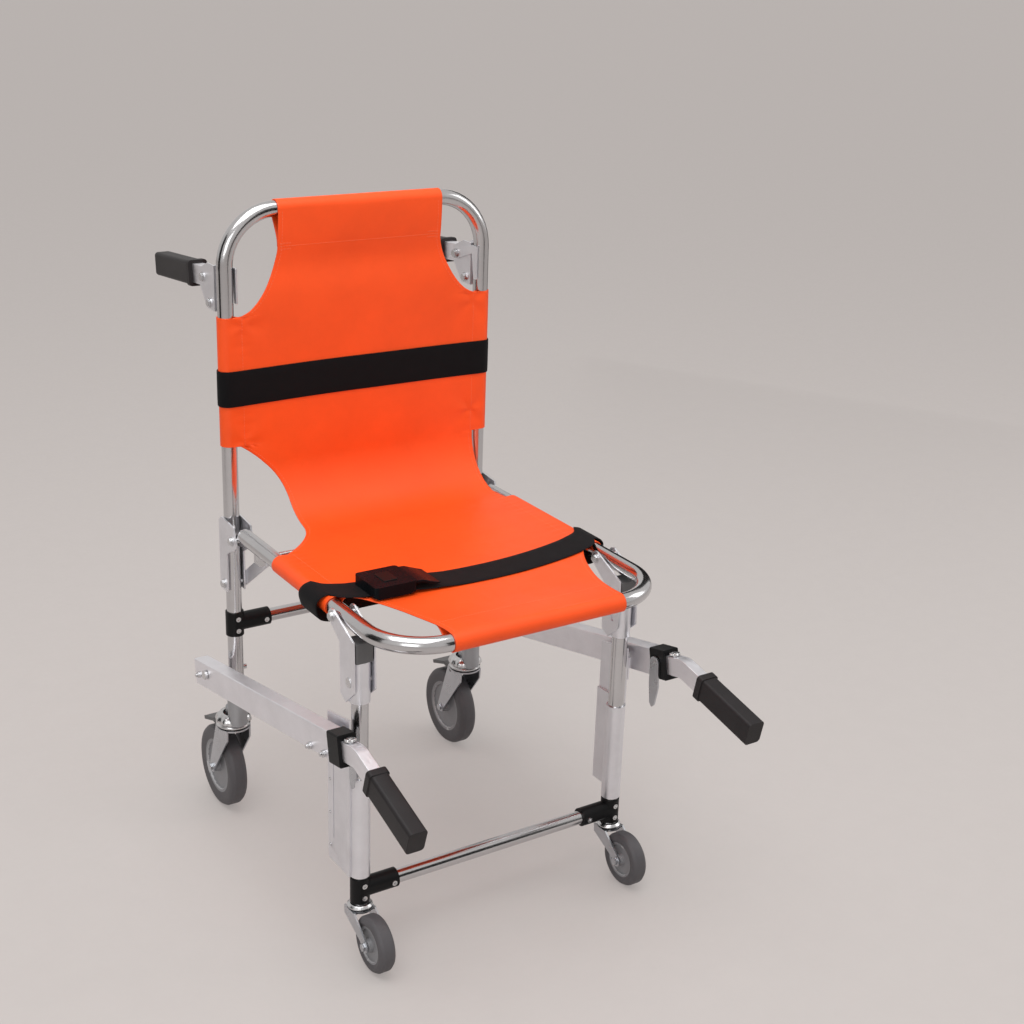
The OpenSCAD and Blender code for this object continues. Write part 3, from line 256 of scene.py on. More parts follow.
cloth_thick = 0.0013
sleeve_radius = tube_radius + 0.00095
turn_radius = 0.090
turn_z = seat_z + turn_radius
turn_length = turn_radius * math.pi / 2
back_length = top_bar_z - turn_z
seat_start = back_length + turn_length
whole_length = seat_start + (back_y - turn_radius) - front_bar_y
tab_half = 0.126
inner_half = half_width - tube_radius
seam_inset = 0.018
hem_inset = 0.006
top_pocket, front_pocket = 0.050, 0.036  # how far the cloth is turned back behind the bars
fold_gap = 0.0015


def along_sling(run):
    """Place in y and z of the middle plane of the sling, and its way towards the sitter."""
    if run <= back_length:
        return (back_y, top_bar_z - run), (-1.0, 0.0)
    if run >= seat_start:
        return (back_y - turn_radius - (run - seat_start), seat_z), (0.0, 1.0)
    turned = (run - back_length) / turn_radius
    return ((back_y - turn_radius + turn_radius * math.cos(turned),
             turn_z - turn_radius * math.sin(turned)), (-math.cos(turned), math.sin(turned)))


def share(value, low, high):
    """How far value is from low to high, held between 0 and 1."""
    return min(1.0, max(0.0, (value - low) / (high - low)))


def eased(value, low, high):
    """The same share, easing in and out."""
    part = share(value, low, high)
    return part * part * (3 - 2 * part)


# heights above the floor
sleeve_top, tab_foot = 0.768, 0.855
waist_low, waist_high = 0.498, 0.588
# distances ahead of the back tubes
waist_turn, waist_corner, waist_front = 0.070, 0.0735, 0.158
right_sleeve_ahead, front_cut_ahead = 0.103, 0.314
front_cut_long = 0.151
# half widths at the waist, and how much the cloth widens from there to its sleeves
left_waist_half, left_flare = 0.124, 0.065
right_waist_half, right_flare = 0.185, 0.004

top_cut_low, top_cut_high = top_bar_z - sleeve_top, top_bar_z - tab_foot
left_sleeve_end = top_bar_z - waist_high
front_cut_start = seat_start + front_cut_ahead - turn_radius
front_cut_end = front_cut_start + front_cut_long
left_seat_sleeve = seat_start + waist_front - turn_radius
right_seat_sleeve = seat_start + right_sleeve_ahead - turn_radius


def sleeved(run, left):
    """Whether the side of the cloth runs round its tube here."""
    if run < top_cut_low or run > front_cut_start:
        return False
    if left:
        return run <= left_sleeve_end or run >= left_seat_sleeve
    return run <= back_length or run >= right_seat_sleeve


def half_cut(run, left):
    """Half width of the cloth at a place along it, with its rounded cut-outs."""
    if sleeved(run, left):
        return half_width
    if run <= top_cut_low:
        rise = share(run, top_cut_high, top_cut_low)
        return tab_half + (inner_half - tab_half) * (1 - math.sqrt(max(0, 1 - rise ** 2))) ** 0.75
    if run >= front_cut_start:
        reach = share(run, front_cut_start, front_cut_end) ** 1.25
        sine = math.sqrt(max(0, 1 - (1 - reach) ** 2))
        return tab_half + (inner_half - tab_half) * (1 - sine) ** 0.85
    if not left:
        return right_waist_half + right_flare * share(run, seat_start - 0.02, right_seat_sleeve)
    y, z = along_sling(run)[0]
    if back_y - y < waist_corner:
        return left_waist_half + left_flare * share(z, waist_low, waist_high) ** 2
    return left_waist_half + left_flare * share(back_y - y, waist_turn, waist_front) ** 1.7


bar_reach, tube_reach = 0.075, 0.006  # where the cloth comes up onto a bar, onto a side tube
middle_stand, side_gain = 0.0068, 0.0052


def stand(x, run):
    """How far the cloth stands off the middle plane of the tubes, towards the sitter."""
    across = min(1.0, abs(x) / half_width)
    sag = middle_stand + side_gain * across ** 2.4
    at_top = 1 - eased(run, 0.0, bar_reach)
    at_front = eased(run, whole_length - bar_reach, whole_length)
    at_bar = max(at_top, at_front)
    height = sag + (sleeve_radius - sag) * at_bar
    if abs(x) > half_width - tube_reach:
        on_tube = math.sqrt(max(0, sleeve_radius ** 2 - (abs(x) - half_width) ** 2))
        height = height + (on_tube - height) * share(abs(x), half_width - tube_reach, half_width)
    # a soft hollow under the top seam and across the waist, as the cloth is let go there
    height -= 0.0046 * math.exp(-((run - 0.078) / 0.026) ** 2) * (1 - across ** 2)
    height -= 0.0016 * math.exp(-((run - back_length - 0.03) / 0.05) ** 2) * (1 - across ** 2)
    return height


def pucker(x, run):
    """Small gathers beside the seams and at the ends of the cut-outs."""
    side = 1 if x > 0 else -1
    near = math.exp(-((abs(x) - (half_width - seam_inset)) / 0.012) ** 2)
    held = 0.00032 * near * math.sin(run * 520 + 2.1 * math.sin(run * 61 + side))
    for corner, reach in ((top_cut_low + 0.012, 0.042), (left_sleeve_end - 0.004, 0.032),
                          (front_cut_start - 0.010, 0.034)):
        away = math.hypot(abs(x) - half_width + 0.02, run - corner)
        if away < 2.4 * reach:
            fan = math.atan2(run - corner, abs(x) - half_width + 0.02)
            held += 0.0009 * math.exp(-(away / reach) ** 2) * math.sin(fan * 4 + side)
    broad = math.sin(x * 19 + run * 11) * math.sin(run * 17 - x * 7)
    return held + 0.0012 * broad * (1 - (abs(x) / half_width) ** 2)


def off_plane(x, run, off):
    """A point that stands off the middle plane of the tubes, towards the sitter."""
    (y, z), (toward_y, toward_z) = along_sling(run)
    return Vector((x, y + toward_y * off, z + toward_z * off))


def on_sling(x, run, lift=0.0):
    """A point on the middle of the cloth, or lifted off it towards the sitter."""
    return off_plane(x, run, stand(x, run) + pucker(x, run) + lift)


def wrapped(side, run, angle):
    """A point of the sleeve round a side tube: 0 faces the sitter, half a turn is behind."""
    return off_plane(side * (half_width + sleeve_radius * math.sin(angle)), run,
                     sleeve_radius * math.cos(angle))


def turned_back(x, run, part):
    """A point of the cloth behind the panel, from the back of a tube, 0, to its seam, 1."""
    front = stand(x, run) + pucker(x, run) - fold_gap
    return off_plane(x, run, -sleeve_radius + (front + sleeve_radius) * eased(part, 0.0, 1.0))


def stations():
    """Places along the cloth where it gets a row of points, closer where its outline bends."""
    rows = [whole_length * i / 205 for i in range(206)]
    for step in range(1, 18):
        bend = math.radians(90 * step / 18)
        rows.append(top_cut_high + (top_cut_low - top_cut_high) * math.sin(bend))
        rows.append(front_cut_start + front_cut_long * (1 - math.cos(bend)) ** 0.8)
    rows += [top_cut_high, seat_start, front_cut_end]
    for edge in (top_cut_low, left_sleeve_end, back_length, left_seat_sleeve,
                 right_seat_sleeve, front_cut_start):
        rows += [edge - 0.0006, edge, edge + 0.0006]
    rows.sort()
    kept = [rows[0]]
    for row in rows[1:]:
        if row - kept[-1] > 0.00055:
            kept.append(row)
    return kept


# how far each ring of faces round a side tube, and round a bar, goes on along the flat cloth
sleeve_step, pocket_step = 0.003, 0.004


def sling_mesh(name):
    """The panel with its side sleeves and its pockets for the top bar and the front bar."""
    shape = bmesh.new()
    flat = shape.loops.layers.uv.new("cloth")
    rows = stations()
    columns = [math.sin(math.radians(90 * s / 44)) * 0.35 + s / 44 * 0.65 for s in range(-44, 45)]
    grid = []
    for run in rows:
        left_half, right_half = half_cut(run, True), half_cut(run, False)
        row = []
        for column in columns:
            x = column * (right_half if column > 0 else left_half)
            row.append((shape.verts.new(on_sling(x, run)), x))
        grid.append(row)

    def lay(corners, places):
        """One face with its places on the flat cloth."""
        face = shape.faces.new(corners)
        face.smooth = True
        for loop, place in zip(face.loops, places):
            loop[flat].uv = place
    for i in range(len(rows) - 1):
        for j in range(len(columns) - 1):
            four = (grid[i][j], grid[i][j + 1], grid[i + 1][j + 1], grid[i + 1][j])
            lay([v for v, _ in four],
                [(x, rows[i] if k < 2 else rows[i + 1]) for k, (_, x) in enumerate(four)])
    # side sleeves: round the tube, then back in behind the panel to the seam
    for left in (True, False):
        side = -1 if left else 1
        wraps = {}
        for i, run in enumerate(rows):
            if not sleeved(run, left):
                continue
            ring = [grid[i][0 if left else -1][0]]
            for step in range(1, 13):
                ring.append(shape.verts.new(wrapped(side, run, math.pi * step / 12)))
            for step in range(1, 6):
                x = side * (half_width - seam_inset * step / 5)
                ring.append(shape.verts.new(turned_back(x, run, step / 5)))
            wraps[i] = ring
        for i in wraps:
            if i + 1 not in wraps:
                continue
            for k in range(len(wraps[i]) - 1):
                a, b = wraps[i][k], wraps[i][k + 1]
                c, d = wraps[i + 1][k + 1], wraps[i + 1][k]
                u0 = side * (half_width + sleeve_step * k)
                u1 = side * (half_width + sleeve_step * (k + 1))
                order = [a, b, c, d] if side > 0 else [d, c, b, a]
                spots = [(u0, rows[i]), (u1, rows[i]), (u1, rows[i + 1]), (u0, rows[i + 1])]
                lay(order, spots if side > 0 else spots[::-1])
    # pockets at the two bars: over the bar, then back behind the panel to the seam
    for at_top in (True, False):
        first = grid[0] if at_top else grid[-1]
        bar_y, bar_z = (back_y, top_bar_z) if at_top else (front_bar_y, seat_z)
        depth = top_pocket if at_top else front_pocket
        last = first
        for step in range(1, 24):
            fresh = []
            for _, x in first:
                if step <= 12:
                    angle = math.pi * step / 12
                    ahead, up = sleeve_radius * math.cos(angle), sleeve_radius * math.sin(angle)
                    spot = ((x, bar_y - ahead, bar_z + up) if at_top
                            else (x, bar_y - up, bar_z + ahead))
                else:
                    part = (step - 12) / 11
                    run = depth * part if at_top else whole_length - depth * part
                    spot = turned_back(x, run, part)
                fresh.append((shape.verts.new(spot), x))
            base = -pocket_step * step if at_top else whole_length + pocket_step * step
            for j in range(len(columns) - 1):
                four = (last[j], last[j + 1], fresh[j + 1], fresh[j])
                places = [(x, base if k > 1 else base + (pocket_step if at_top else -pocket_step))
                          for k, (_, x) in enumerate(four)]
                if at_top:
                    four, places = four[::-1], places[::-1]
                lay([v for v, _ in four], places)
            last = fresh
    mesh = bpy.data.meshes.new(name)
    bmesh.ops.recalc_face_normals(shape, faces=shape.faces)
    shape.to_mesh(mesh)
    shape.free()
    return mesh


def threads(tree, way, scale, uneven):
    """Fine parallel threads, as bands across one way of the flat cloth."""
    wave = add_node(tree, "ShaderNodeTexWave", Scale=scale, Distortion=uneven)
    wave.bands_direction = way
    return wave


def lay_flat(tree, layer, textures):
    """Fixes textures to the flat cloth, so they bend and turn with it."""
    flat = tree.nodes.new("ShaderNodeUVMap")
    flat.uv_map = layer
    for texture in textures:
        tree.links.new(flat.outputs["UV"], texture.inputs["Vector"])


def combined(tree, how, one, two):
    """Two levels joined by adding, multiplying or taking the larger."""
    both = tree.nodes.new("ShaderNodeMath")
    both.operation = how
    tree.links.new(one, both.inputs[0])
    tree.links.new(two, both.inputs[1])
    return both.outputs["Value"]


def coated_cloth(name, colour):
    """Smooth coated cloth: the weave underneath prints through, and it creases softly."""
    finish, tree, skin = blank_finish(name, 0.32)
    broad = add_node(tree, "ShaderNodeTexNoise", Scale=9.0, Detail=5.0, Roughness=0.6)
    creases = add_node(tree, "ShaderNodeTexNoise", Scale=34.0, Detail=6.0, Roughness=0.62,
                       Distortion=0.6)
    warp, weft = threads(tree, "X", 330.0, 0.4), threads(tree, "Y", 330.0, 0.4)
    lay_flat(tree, "cloth", (broad, creases, warp, weft))
    vary_shade(tree, skin, broad.outputs["Fac"], colour, 0.93, 1.05, 0.34, 0.68)
    vary_gloss(tree, skin, creases.outputs["Fac"], 0.40, 0.54)
    soft = add_relief(tree, skin, creases.outputs["Fac"], 0.22, 0.0012)
    add_relief(tree, soft, combined(tree, "ADD", warp.outputs["Fac"], weft.outputs["Fac"]),
               0.12, 0.00012)
    return finish


orange_cloth = coated_cloth("orange_coated_cloth", paint(244, 82, 24))
sling = linked("sling", sling_mesh("sling"))
sling.data.materials.append(orange_cloth)
body_of_cloth = sling.modifiers.new("cloth_thickness", "SOLIDIFY")
body_of_cloth.thickness = cloth_thick
body_of_cloth.offset = 0

sling_rows = stations()
for before, after in zip(sling_rows, sling_rows[1:]):
    middle = (before + after) / 2
    for left in (True, False):
        wide = half_cut(middle, left)
        if sleeved(middle, left):
            wide += sleeve_radius * math.pi + seam_inset
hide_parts("back_sling", "seat_sling")
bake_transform(sling)


def set_input(modifier, name, value):
    """Fills a named input of a node tree on a piece."""
    for socket in modifier.node_group.interface.items_tree:
        if socket.item_type == "SOCKET" and socket.in_out == "INPUT" and socket.name == name:
            modifier[socket.identifier] = value


def stitch_tree():
    """Even lock stitches along a line: the line is cut in steps and each gets one thread."""
    tree = bpy.data.node_groups.new("stitches", "GeometryNodeTree")
    sockets = tree.interface
    sockets.new_socket("Line", in_out="INPUT", socket_type="NodeSocketGeometry")
    for name in ("Step", "Stitch", "Thread"):
        sockets.new_socket(name, in_out="INPUT", socket_type="NodeSocketFloat")
    sockets.new_socket("Finish", in_out="INPUT", socket_type="NodeSocketMaterial")
    sockets.new_socket("Stitches", in_out="OUTPUT", socket_type="NodeSocketGeometry")
    start, end = tree.nodes.new("NodeGroupInput"), tree.nodes.new("NodeGroupOutput")
    curve = tree.nodes.new("GeometryNodeMeshToCurve")
    cut = tree.nodes.new("GeometryNodeResampleCurve")
    cut.mode = "LENGTH"
    thread = add_node(tree, "GeometryNodeMeshUVSphere", Segments=6, Rings=4, Radius=1.0)
    sized = tree.nodes.new("GeometryNodeTransform")
    size = tree.nodes.new("ShaderNodeCombineXYZ")
    half_long = tree.nodes.new("ShaderNodeMath")
    half_long.operation = "MULTIPLY"
    half_long.inputs[1].default_value = 0.5
    tangent = tree.nodes.new("GeometryNodeInputTangent")
    aimed = tree.nodes.new("FunctionNodeAlignRotationToVector")
    aimed.axis = "X"
    uneven = tree.nodes.new("FunctionNodeRandomValue")
    uneven.data_type = "FLOAT_VECTOR"
    uneven.inputs[0].default_value = (0.88, 0.9, 0.9)
    uneven.inputs[1].default_value = (1.08, 1.1, 1.1)
    uneven.inputs["Seed"].default_value = 11
    placed = tree.nodes.new("GeometryNodeInstanceOnPoints")
    whole = tree.nodes.new("GeometryNodeRealizeInstances")
    coloured = tree.nodes.new("GeometryNodeSetMaterial")
    join = tree.links.new
    join(start.outputs["Line"], curve.inputs["Mesh"])
    join(curve.outputs["Curve"], cut.inputs["Curve"])
    join(start.outputs["Step"], cut.inputs["Length"])
    join(start.outputs["Stitch"], half_long.inputs[0])
    join(half_long.outputs["Value"], size.inputs["X"])
    join(start.outputs["Thread"], size.inputs["Y"])
    join(start.outputs["Thread"], size.inputs["Z"])
    join(thread.outputs["Mesh"], sized.inputs["Geometry"])
    join(size.outputs["Vector"], sized.inputs["Scale"])
    join(cut.outputs["Curve"], placed.inputs["Points"])
    join(sized.outputs["Geometry"], placed.inputs["Instance"])
    join(tangent.outputs["Tangent"], aimed.inputs["Vector"])
    join(aimed.outputs["Rotation"], placed.inputs["Rotation"])
    join(uneven.outputs["Value"], placed.inputs["Scale"])
    join(placed.outputs["Instances"], whole.inputs["Geometry"])
    join(whole.outputs["Geometry"], coloured.inputs["Geometry"])
    join(start.outputs["Finish"], coloured.inputs["Material"])
    join(coloured.outputs["Geometry"], end.inputs["Stitches"])
    return tree


stitches = stitch_tree()


def sewn(name, lines, finish):
    """Rows of stitches along lines of points, as one plain mesh."""
    mesh = bpy.data.meshes.new(name + "_lines")
    points, links = [], []
    for line in lines:
        links += [(len(points) + i, len(points) + i + 1) for i in range(len(line) - 1)]
        points += [tuple(point) for point in line]
    mesh.from_pydata(points, links, [])
    guide = linked(name + "_lines", mesh)
    sewing = guide.modifiers.new("sewing", "NODES")
    sewing.node_group = stitches
    for socket, value in (("Step", 0.0042), ("Stitch", 0.0028), ("Thread", 0.00038),
                          ("Finish", finish)):
        set_input(sewing, socket, value)
    bpy.context.view_layer.update()
    seen = guide.evaluated_get(bpy.context.evaluated_depsgraph_get())
    plain = bpy.data.meshes.new_from_object(seen)
    plain.name = name
    bpy.data.objects.remove(guide)
    for face in plain.polygons:
        face.use_smooth = True
    return linked(name, plain)


orange_thread = grained("orange_thread", paint(243, 118, 74), gloss=0.6, grain=4000.0, patch=0.1,
                        relief=0.4)
thread_lift = 0.0001
skin_of_cloth = cloth_thick / 2 + thread_lift


def seam(left, first, last):
    """Line of a sleeve seam along one side of the sling."""
    x = (-1 if left else 1) * (half_width - seam_inset)
    count = max(2, int((last - first) / 0.006))
    return [on_sling(x, first + (last - first) * i / count, skin_of_cloth)
            for i in range(count + 1)]


def pocket_seam(run):
    """Line of a seam across the sling, below the top bar or behind the front one."""
    seam_half = 0.121
    return [on_sling(-seam_half + 2 * seam_half * i / 60, run, skin_of_cloth) for i in range(61)]


def hem(left, first, last):
    """Line of stitches just inside a cut-out's edge."""
    side = -1 if left else 1
    line = []
    for run in sling_rows:
        if first <= run <= last:
            point = on_sling(side * (half_cut(run, left) - hem_inset), run, skin_of_cloth)
            if not line or (point - line[-1]).length > 0.002:
                line.append(point)
    return line


def bar_tack(x, run):
    """Short stitches side by side that lock the end of a seam."""
    return [[on_sling(x + 0.0022 * k, run - 0.004 + 0.002 * i, skin_of_cloth) for i in range(5)]
            for k in range(8)]


# how far a row of stitches stops short of an end, and of a corner of the cut-outs
near_end, near_corner = 0.002, 0.004
sewn_lines = bar_tack(-0.1225, top_pocket) + bar_tack(0.1055, top_pocket) + [
    seam(True, top_cut_low + near_corner, left_sleeve_end - near_end),
    seam(False, top_cut_low + near_corner, back_length - near_end),
    seam(True, left_seat_sleeve + near_end, front_cut_start - near_corner),
    seam(False, right_seat_sleeve + near_end, front_cut_start - near_corner),
    pocket_seam(top_pocket), pocket_seam(whole_length - front_pocket),
    hem(True, near_end, top_cut_low - near_corner),
    hem(False, near_end, top_cut_low - near_corner),
    hem(True, left_sleeve_end + near_corner, left_seat_sleeve - near_corner),
    hem(False, back_length + near_corner, right_seat_sleeve - near_corner),
    hem(True, front_cut_start + near_corner, whole_length - near_end),
    hem(False, front_cut_start + near_corner, whole_length - near_end)]
sling_seams = sewn("sling_seams", sewn_lines, orange_thread)
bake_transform(sling_seams)

# Webbing across the back
#
# A black polypropylene strap, 50 mm wide, that runs round both tubes and the sling at chest
# height. It is woven flat with a finer edge and is sewn to itself behind the chair.


def ribbon(name, path, half_across, finish):
    """A closed band of flat webbing swept along a path; half_across spans half its width."""
    shape = bmesh.new()
    flat = shape.loops.layers.uv.new("webbing")
    outline = [(-1.0, 0.0), (-0.985, 0.55), (-0.95, 0.9), (-0.6, 1.0), (-0.2, 1.0), (0.2, 1.0),
               (0.6, 1.0), (0.95, 0.9), (0.985, 0.55), (1.0, 0.0), (0.985, -0.55),
               (0.95, -0.9), (0.6, -1.0), (0.2, -1.0), (-0.2, -1.0), (-0.6, -1.0),
               (-0.95, -0.9), (-0.985, -0.55)]
    rings, runs, run = [], [], 0.0
    for i, point in enumerate(path):
        ahead, behind = path[(i + 1) % len(path)], path[i - 1]
        tangent = (ahead - behind).normalized()
        normal = tangent.cross(half_across).normalized()
        rings.append([shape.verts.new(point + half_across * u
                                      + normal * (v * webbing_thick / 2)) for u, v in outline])
        runs.append(run)
        run += (ahead - point).length
    runs.append(run)
    half = half_across.length
    for i in range(len(path)):
        one, two = rings[i], rings[(i + 1) % len(path)]
        for k in range(len(outline)):
            m = (k + 1) % len(outline)
            face = shape.faces.new((one[k], one[m], two[m], two[k]))
            face.smooth = True
            places = ((runs[i], outline[k][0] * half), (runs[i], outline[m][0] * half),
                      (runs[i + 1], outline[m][0] * half), (runs[i + 1], outline[k][0] * half))
            for loop, place in zip(face.loops, places):
                loop[flat].uv = place
    bmesh.ops.recalc_face_normals(shape, faces=shape.faces)
    return piece_from(name, shape, finish)


def woven(name, colour):
    """Flat woven webbing: fine ribs across and lengthwise ends, with a painted highlight on each
    rib and painted shade between them.
    """
    finish, tree, skin = blank_finish(name, 0.1)
    skin.inputs["Sheen Weight"].default_value = 0.03
    picks, ends = threads(tree, "X", 210.0, 0.6), threads(tree, "Y", 320.0, 0.8)
    dust = add_node(tree, "ShaderNodeTexNoise", Scale=60.0, Detail=5.0)
    lay_flat(tree, "webbing", (picks, ends, dust))
    both = combined(tree, "MULTIPLY", picks.outputs["Fac"], ends.outputs["Fac"])
    # painted highlight on the crests of the weave and painted shade between the threads, in the
    # webbing's colour
    vary_shade(tree, skin, both, colour, 0.6, 1.5)
    vary_gloss(tree, skin, dust.outputs["Fac"], 0.62, 0.85)
    add_relief(tree, skin, both, 0.5, 0.0003)
    return finish


black_webbing = woven("black_webbing", paint(17, 16, 18))
strap_low, strap_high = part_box("back_strap")
strap_z = (strap_low.z + strap_high.z) / 2
strap_half = (strap_high.z - strap_low.z) / 2
ring_radius = strap_high.x - half_width - webbing_thick / 2
strap_run = top_bar_z - strap_z
strap_gap, strap_bend = 0.0012, 0.03
strap_path = []
for i in range(61):
    x = half_width * (2 * i / 60 - 1)
    held = max(stand(x, strap_run) + pucker(x, strap_run), 0.0) + cloth_thick / 2 + strap_gap
    hold = eased(abs(x), half_width - strap_bend, half_width)
    strap_path.append(Vector((x, back_y - held * (1 - hold) - ring_radius * hold, strap_z)))
for i in range(1, 17):
    angle = math.pi * i / 16
    strap_path.append(Vector((half_width + ring_radius * math.sin(angle),
                              back_y - ring_radius * math.cos(angle), strap_z)))
for i in range(1, 41):
    x = half_width * (1 - 2 * i / 40)
    strap_path.append(Vector((x, back_y + ring_radius, strap_z)))
for i in range(1, 16):
    angle = math.pi * i / 16
    strap_path.append(Vector((-half_width - ring_radius * math.sin(angle),
                              back_y + ring_radius * math.cos(angle), strap_z)))
back_webbing = ribbon("back_webbing", strap_path, Vector((0, 0, strap_half)), black_webbing)
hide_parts("back_strap")
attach(back_webbing, "back_frame")
black_thread = grained("black_thread", paint(44, 44, 46), gloss=0.6, grain=4000.0, patch=0.1,
                       relief=0.4)
box_wide, box_high = 0.034, 0.019  # half the sewn box with its cross
box_y = back_y + ring_radius + webbing_thick / 2 + thread_lift
corners = [Vector((sx * box_wide, box_y, strap_z + sz * box_high))
           for sx, sz in ((-1, -1), (1, -1), (1, 1), (-1, 1))]
back_sewing = sewn("back_webbing_sewing", [[corners[k], corners[(k + 1) % 4]] for k in range(4)]
                   + [[corners[0], corners[2]], [corners[1], corners[3]]], black_thread)
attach(back_sewing, "back_frame")

# Lap belt and its buckle
#
# The same webbing lies over the seat, loose enough to bow forward, and loops round both seat
# tubes and below. A moulded black buckle with a pressed release and a hinged flap joins it.

belt_half, belt_ahead = 0.025, 0.282
belt_bow, belt_gap = 0.044, 0.0006  # how far it bows forward, what it clears the cloth by
belt_mid = back_y - belt_ahead
buckle_low, buckle_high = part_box("buckle_body")
buckle_x = (buckle_low.x + buckle_high.x) / 2
belt_over, belt_under = 0.01365, 0.01375  # its middle above and below the seat tubes' axis
under_half = 0.178
belt_path = []


def belt_top(x):
    """Place of the upper run of the belt: bowed forward, lying on the cloth."""
    part = min(1.0, abs(x) / half_width)
    y = belt_mid - belt_bow * math.cos(math.radians(90 * part)) ** 0.35
    run = seat_start + back_y - turn_radius - y
    z = max(on_sling(x, run + along).z for along in (-0.02, 0.0, 0.02))
    z += cloth_thick / 2 + webbing_thick / 2 + belt_gap
    at_buckle = 1 - eased(abs(x - buckle_x), 0.028, 0.062)
    z += (seat_z + belt_over - z) * max(at_buckle, eased(abs(x), 0.150, 0.186))
    # a small wave where the loose webbing meets the buckle
    z += 0.0022 * math.exp(-((x + 0.065) / 0.022) ** 2)
    return Vector((x, y, z))


for i in range(121):
    belt_path.append(belt_top(half_width * (1 - 2 * i / 120) * 0.985))
loop_spots = [(0.204, belt_over), (0.2145, 0.0105), (0.2205, 0.003), (0.2195, -0.008),
              (0.2145, -0.0185), (0.2, -0.0232), (0.187, -0.0195), (under_half, -belt_under)]


def smooth_through(spots):
    """More points on a soft curve through a few."""
    fine = []
    for i in range(len(spots) - 1):
        p0, p1 = spots[max(i - 1, 0)], spots[i]
        p2, p3 = spots[i + 1], spots[min(i + 2, len(spots) - 1)]
        for k in range(6):
            t = k / 6
            fine.append([0.5 * (2 * b + (c - a) * t + (2 * a - 5 * b + 4 * c - d) * t * t
                                + (3 * b - a - 3 * c + d) * t ** 3)
                         for a, b, c, d in zip(p0, p1, p2, p3)])
    fine.append(list(spots[-1]))
    return fine


side_loop = smooth_through(loop_spots)
for x, z in side_loop:
    belt_path.append(Vector((-x, belt_mid, seat_z + z)))
for i in range(1, 40):
    x = -under_half + 2 * under_half * i / 40
    belt_path.append(Vector((x, belt_mid, seat_z - belt_under)))
for x, z in reversed(side_loop):
    belt_path.append(Vector((x, belt_mid, seat_z + z)))
lap_webbing = ribbon("lap_webbing", belt_path, Vector((0, belt_half, 0)), black_webbing)
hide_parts("lap_belt")
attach(lap_webbing, "seat_frame")

gloss_black = grained("gloss_black_buckle", paint(16, 19, 22), gloss=0.3, grain=300.0,
                      patch=0.25, relief=0.03, shine=0.05)
finished("buckle_body", "seat_frame", gloss_black, edge=0.0022, steps=4)
finished("buckle_button", "buckle_button", black_nylon, edge=0.0008, steps=3)


def solid_from(name, sections, finish, crease):
    """A closed form through sections of points that follow each other, capped at both ends."""
    shape = bmesh.new()
    rings = [[shape.verts.new(p) for p in ring] for ring in sections]
    for one, two in zip(rings, rings[1:]):
        for k in range(len(one)):
            m = (k + 1) % len(one)
            shape.faces.new((one[k], one[m], two[m], two[k]))
    shape.faces.new(rings[0][::-1])
    shape.faces.new(rings[-1])
    bmesh.ops.recalc_face_normals(shape, faces=shape.faces)
    for face in shape.faces:
        face.smooth = True
    return piece_from(name, shape, finish, crease)


flap_y = (buckle_low.y + buckle_high.y) / 2
flap_half, flap_taper, flap_crease = 0.0265, 0.0015, 40
flap_sections = []
# reach past the buckle's end, height against its top, thickness
for reach, rise, thick in ((-0.002, -0.0035, 0.0035), (0.010, -0.0040, 0.0036),
                           (0.020, -0.0075, 0.0030), (0.030, -0.0105, 0.0024),
                           (0.036, -0.0118, 0.0016)):
    half = flap_half - flap_taper * eased(reach, 0.02, 0.036)
    x, z = buckle_high.x + reach, buckle_high.z + rise
    flap_sections.append([Vector((x, flap_y + sy * half, z + sz * thick / 2))
                          for sy, sz in ((-1, -1), (1, -1), (1, 1), (-1, 1))])
flap = solid_from("buckle_flap", flap_sections, gloss_black, flap_crease)
break_edges(flap, 0.001, flap_crease, 3)
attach(flap, "seat_frame")

# Side rails and their collars
#
# Square-edged aluminium box profiles with a satin skin, hinged on the rear legs. A black nylon
# collar closes the front end of each and guides the handle bar that slides inside.

satin_rail = grained("satin_rail", paint(238, 237, 241), metal=1.0, gloss=0.44, grain=480.0,
                     drawn=(1, 0.06, 1), patch=0.05, relief=0.12)
for side in ("left", "right"):
    finished("rail_" + side, "rail_" + side, satin_rail, edge=0.0006)
    finished("rail_collar_" + side, "rail_" + side, black_nylon, edge=0.0012,
             steps=3)

# Carrying handles and grips
#
# Flat aluminium bars, bent down at the front and hinged at the back, each with a moulded
# rubber grip pushed over its end. A ribbed steel ring stands round each front bar's button.

rubber = grained("grip_rubber", paint(36, 33, 34), gloss=0.5, grain=1300.0, patch=0.16,
                 relief=0.5, depth=0.0003, shine=0.25)
for side in ("left", "right"):
    for place in ("front", "rear"):
        finished(place + "_handle_" + side, place + "_handle_" + side, satin_rail,
                 edge=0.0008)
        finished(place + "_grip_" + side, place + "_handle_" + side, rubber,
                 edge=0.0028, steps=4)
    finished("handle_latch_" + side, "handle_latch_" + side, satin_plate, edge=0.0006)
    finished("handle_button_" + side, "handle_button_" + side, bright_steel,
             edge=0.0005, steps=3)


def ribbed_ring(name, centre, up, outline, ribs, swell):
    """A bright steel ring turned about an axis. The outline closes on itself and gives radius,
    height and whether the ribs show there; swell is their height as a share of the radius."""
    shape = bmesh.new()
    aside = Vector((1, 0, 0))
    fore = up.cross(aside)
    count = ribs * 8
    rings = []
    for k in range(count):
        angle = 2 * math.pi * k / count
        out = aside * math.cos(angle) + fore * math.sin(angle)
        grow = 1 + swell * math.cos(ribs * angle)
        rings.append([shape.verts.new(centre + up * z + out * radius * (grow if ribbed else 1))
                      for radius, z, ribbed in outline])
    for k in range(count):
        one, two = rings[k], rings[(k + 1) % count]
        for i in range(len(outline)):
            j = (i + 1) % len(outline)
            shape.faces.new((one[i], one[j], two[j], two[i])).smooth = True
    bmesh.ops.recalc_face_normals(shape, faces=shape.faces)
    piece = piece_from(name, shape, bright_steel, crease=50)
    return piece


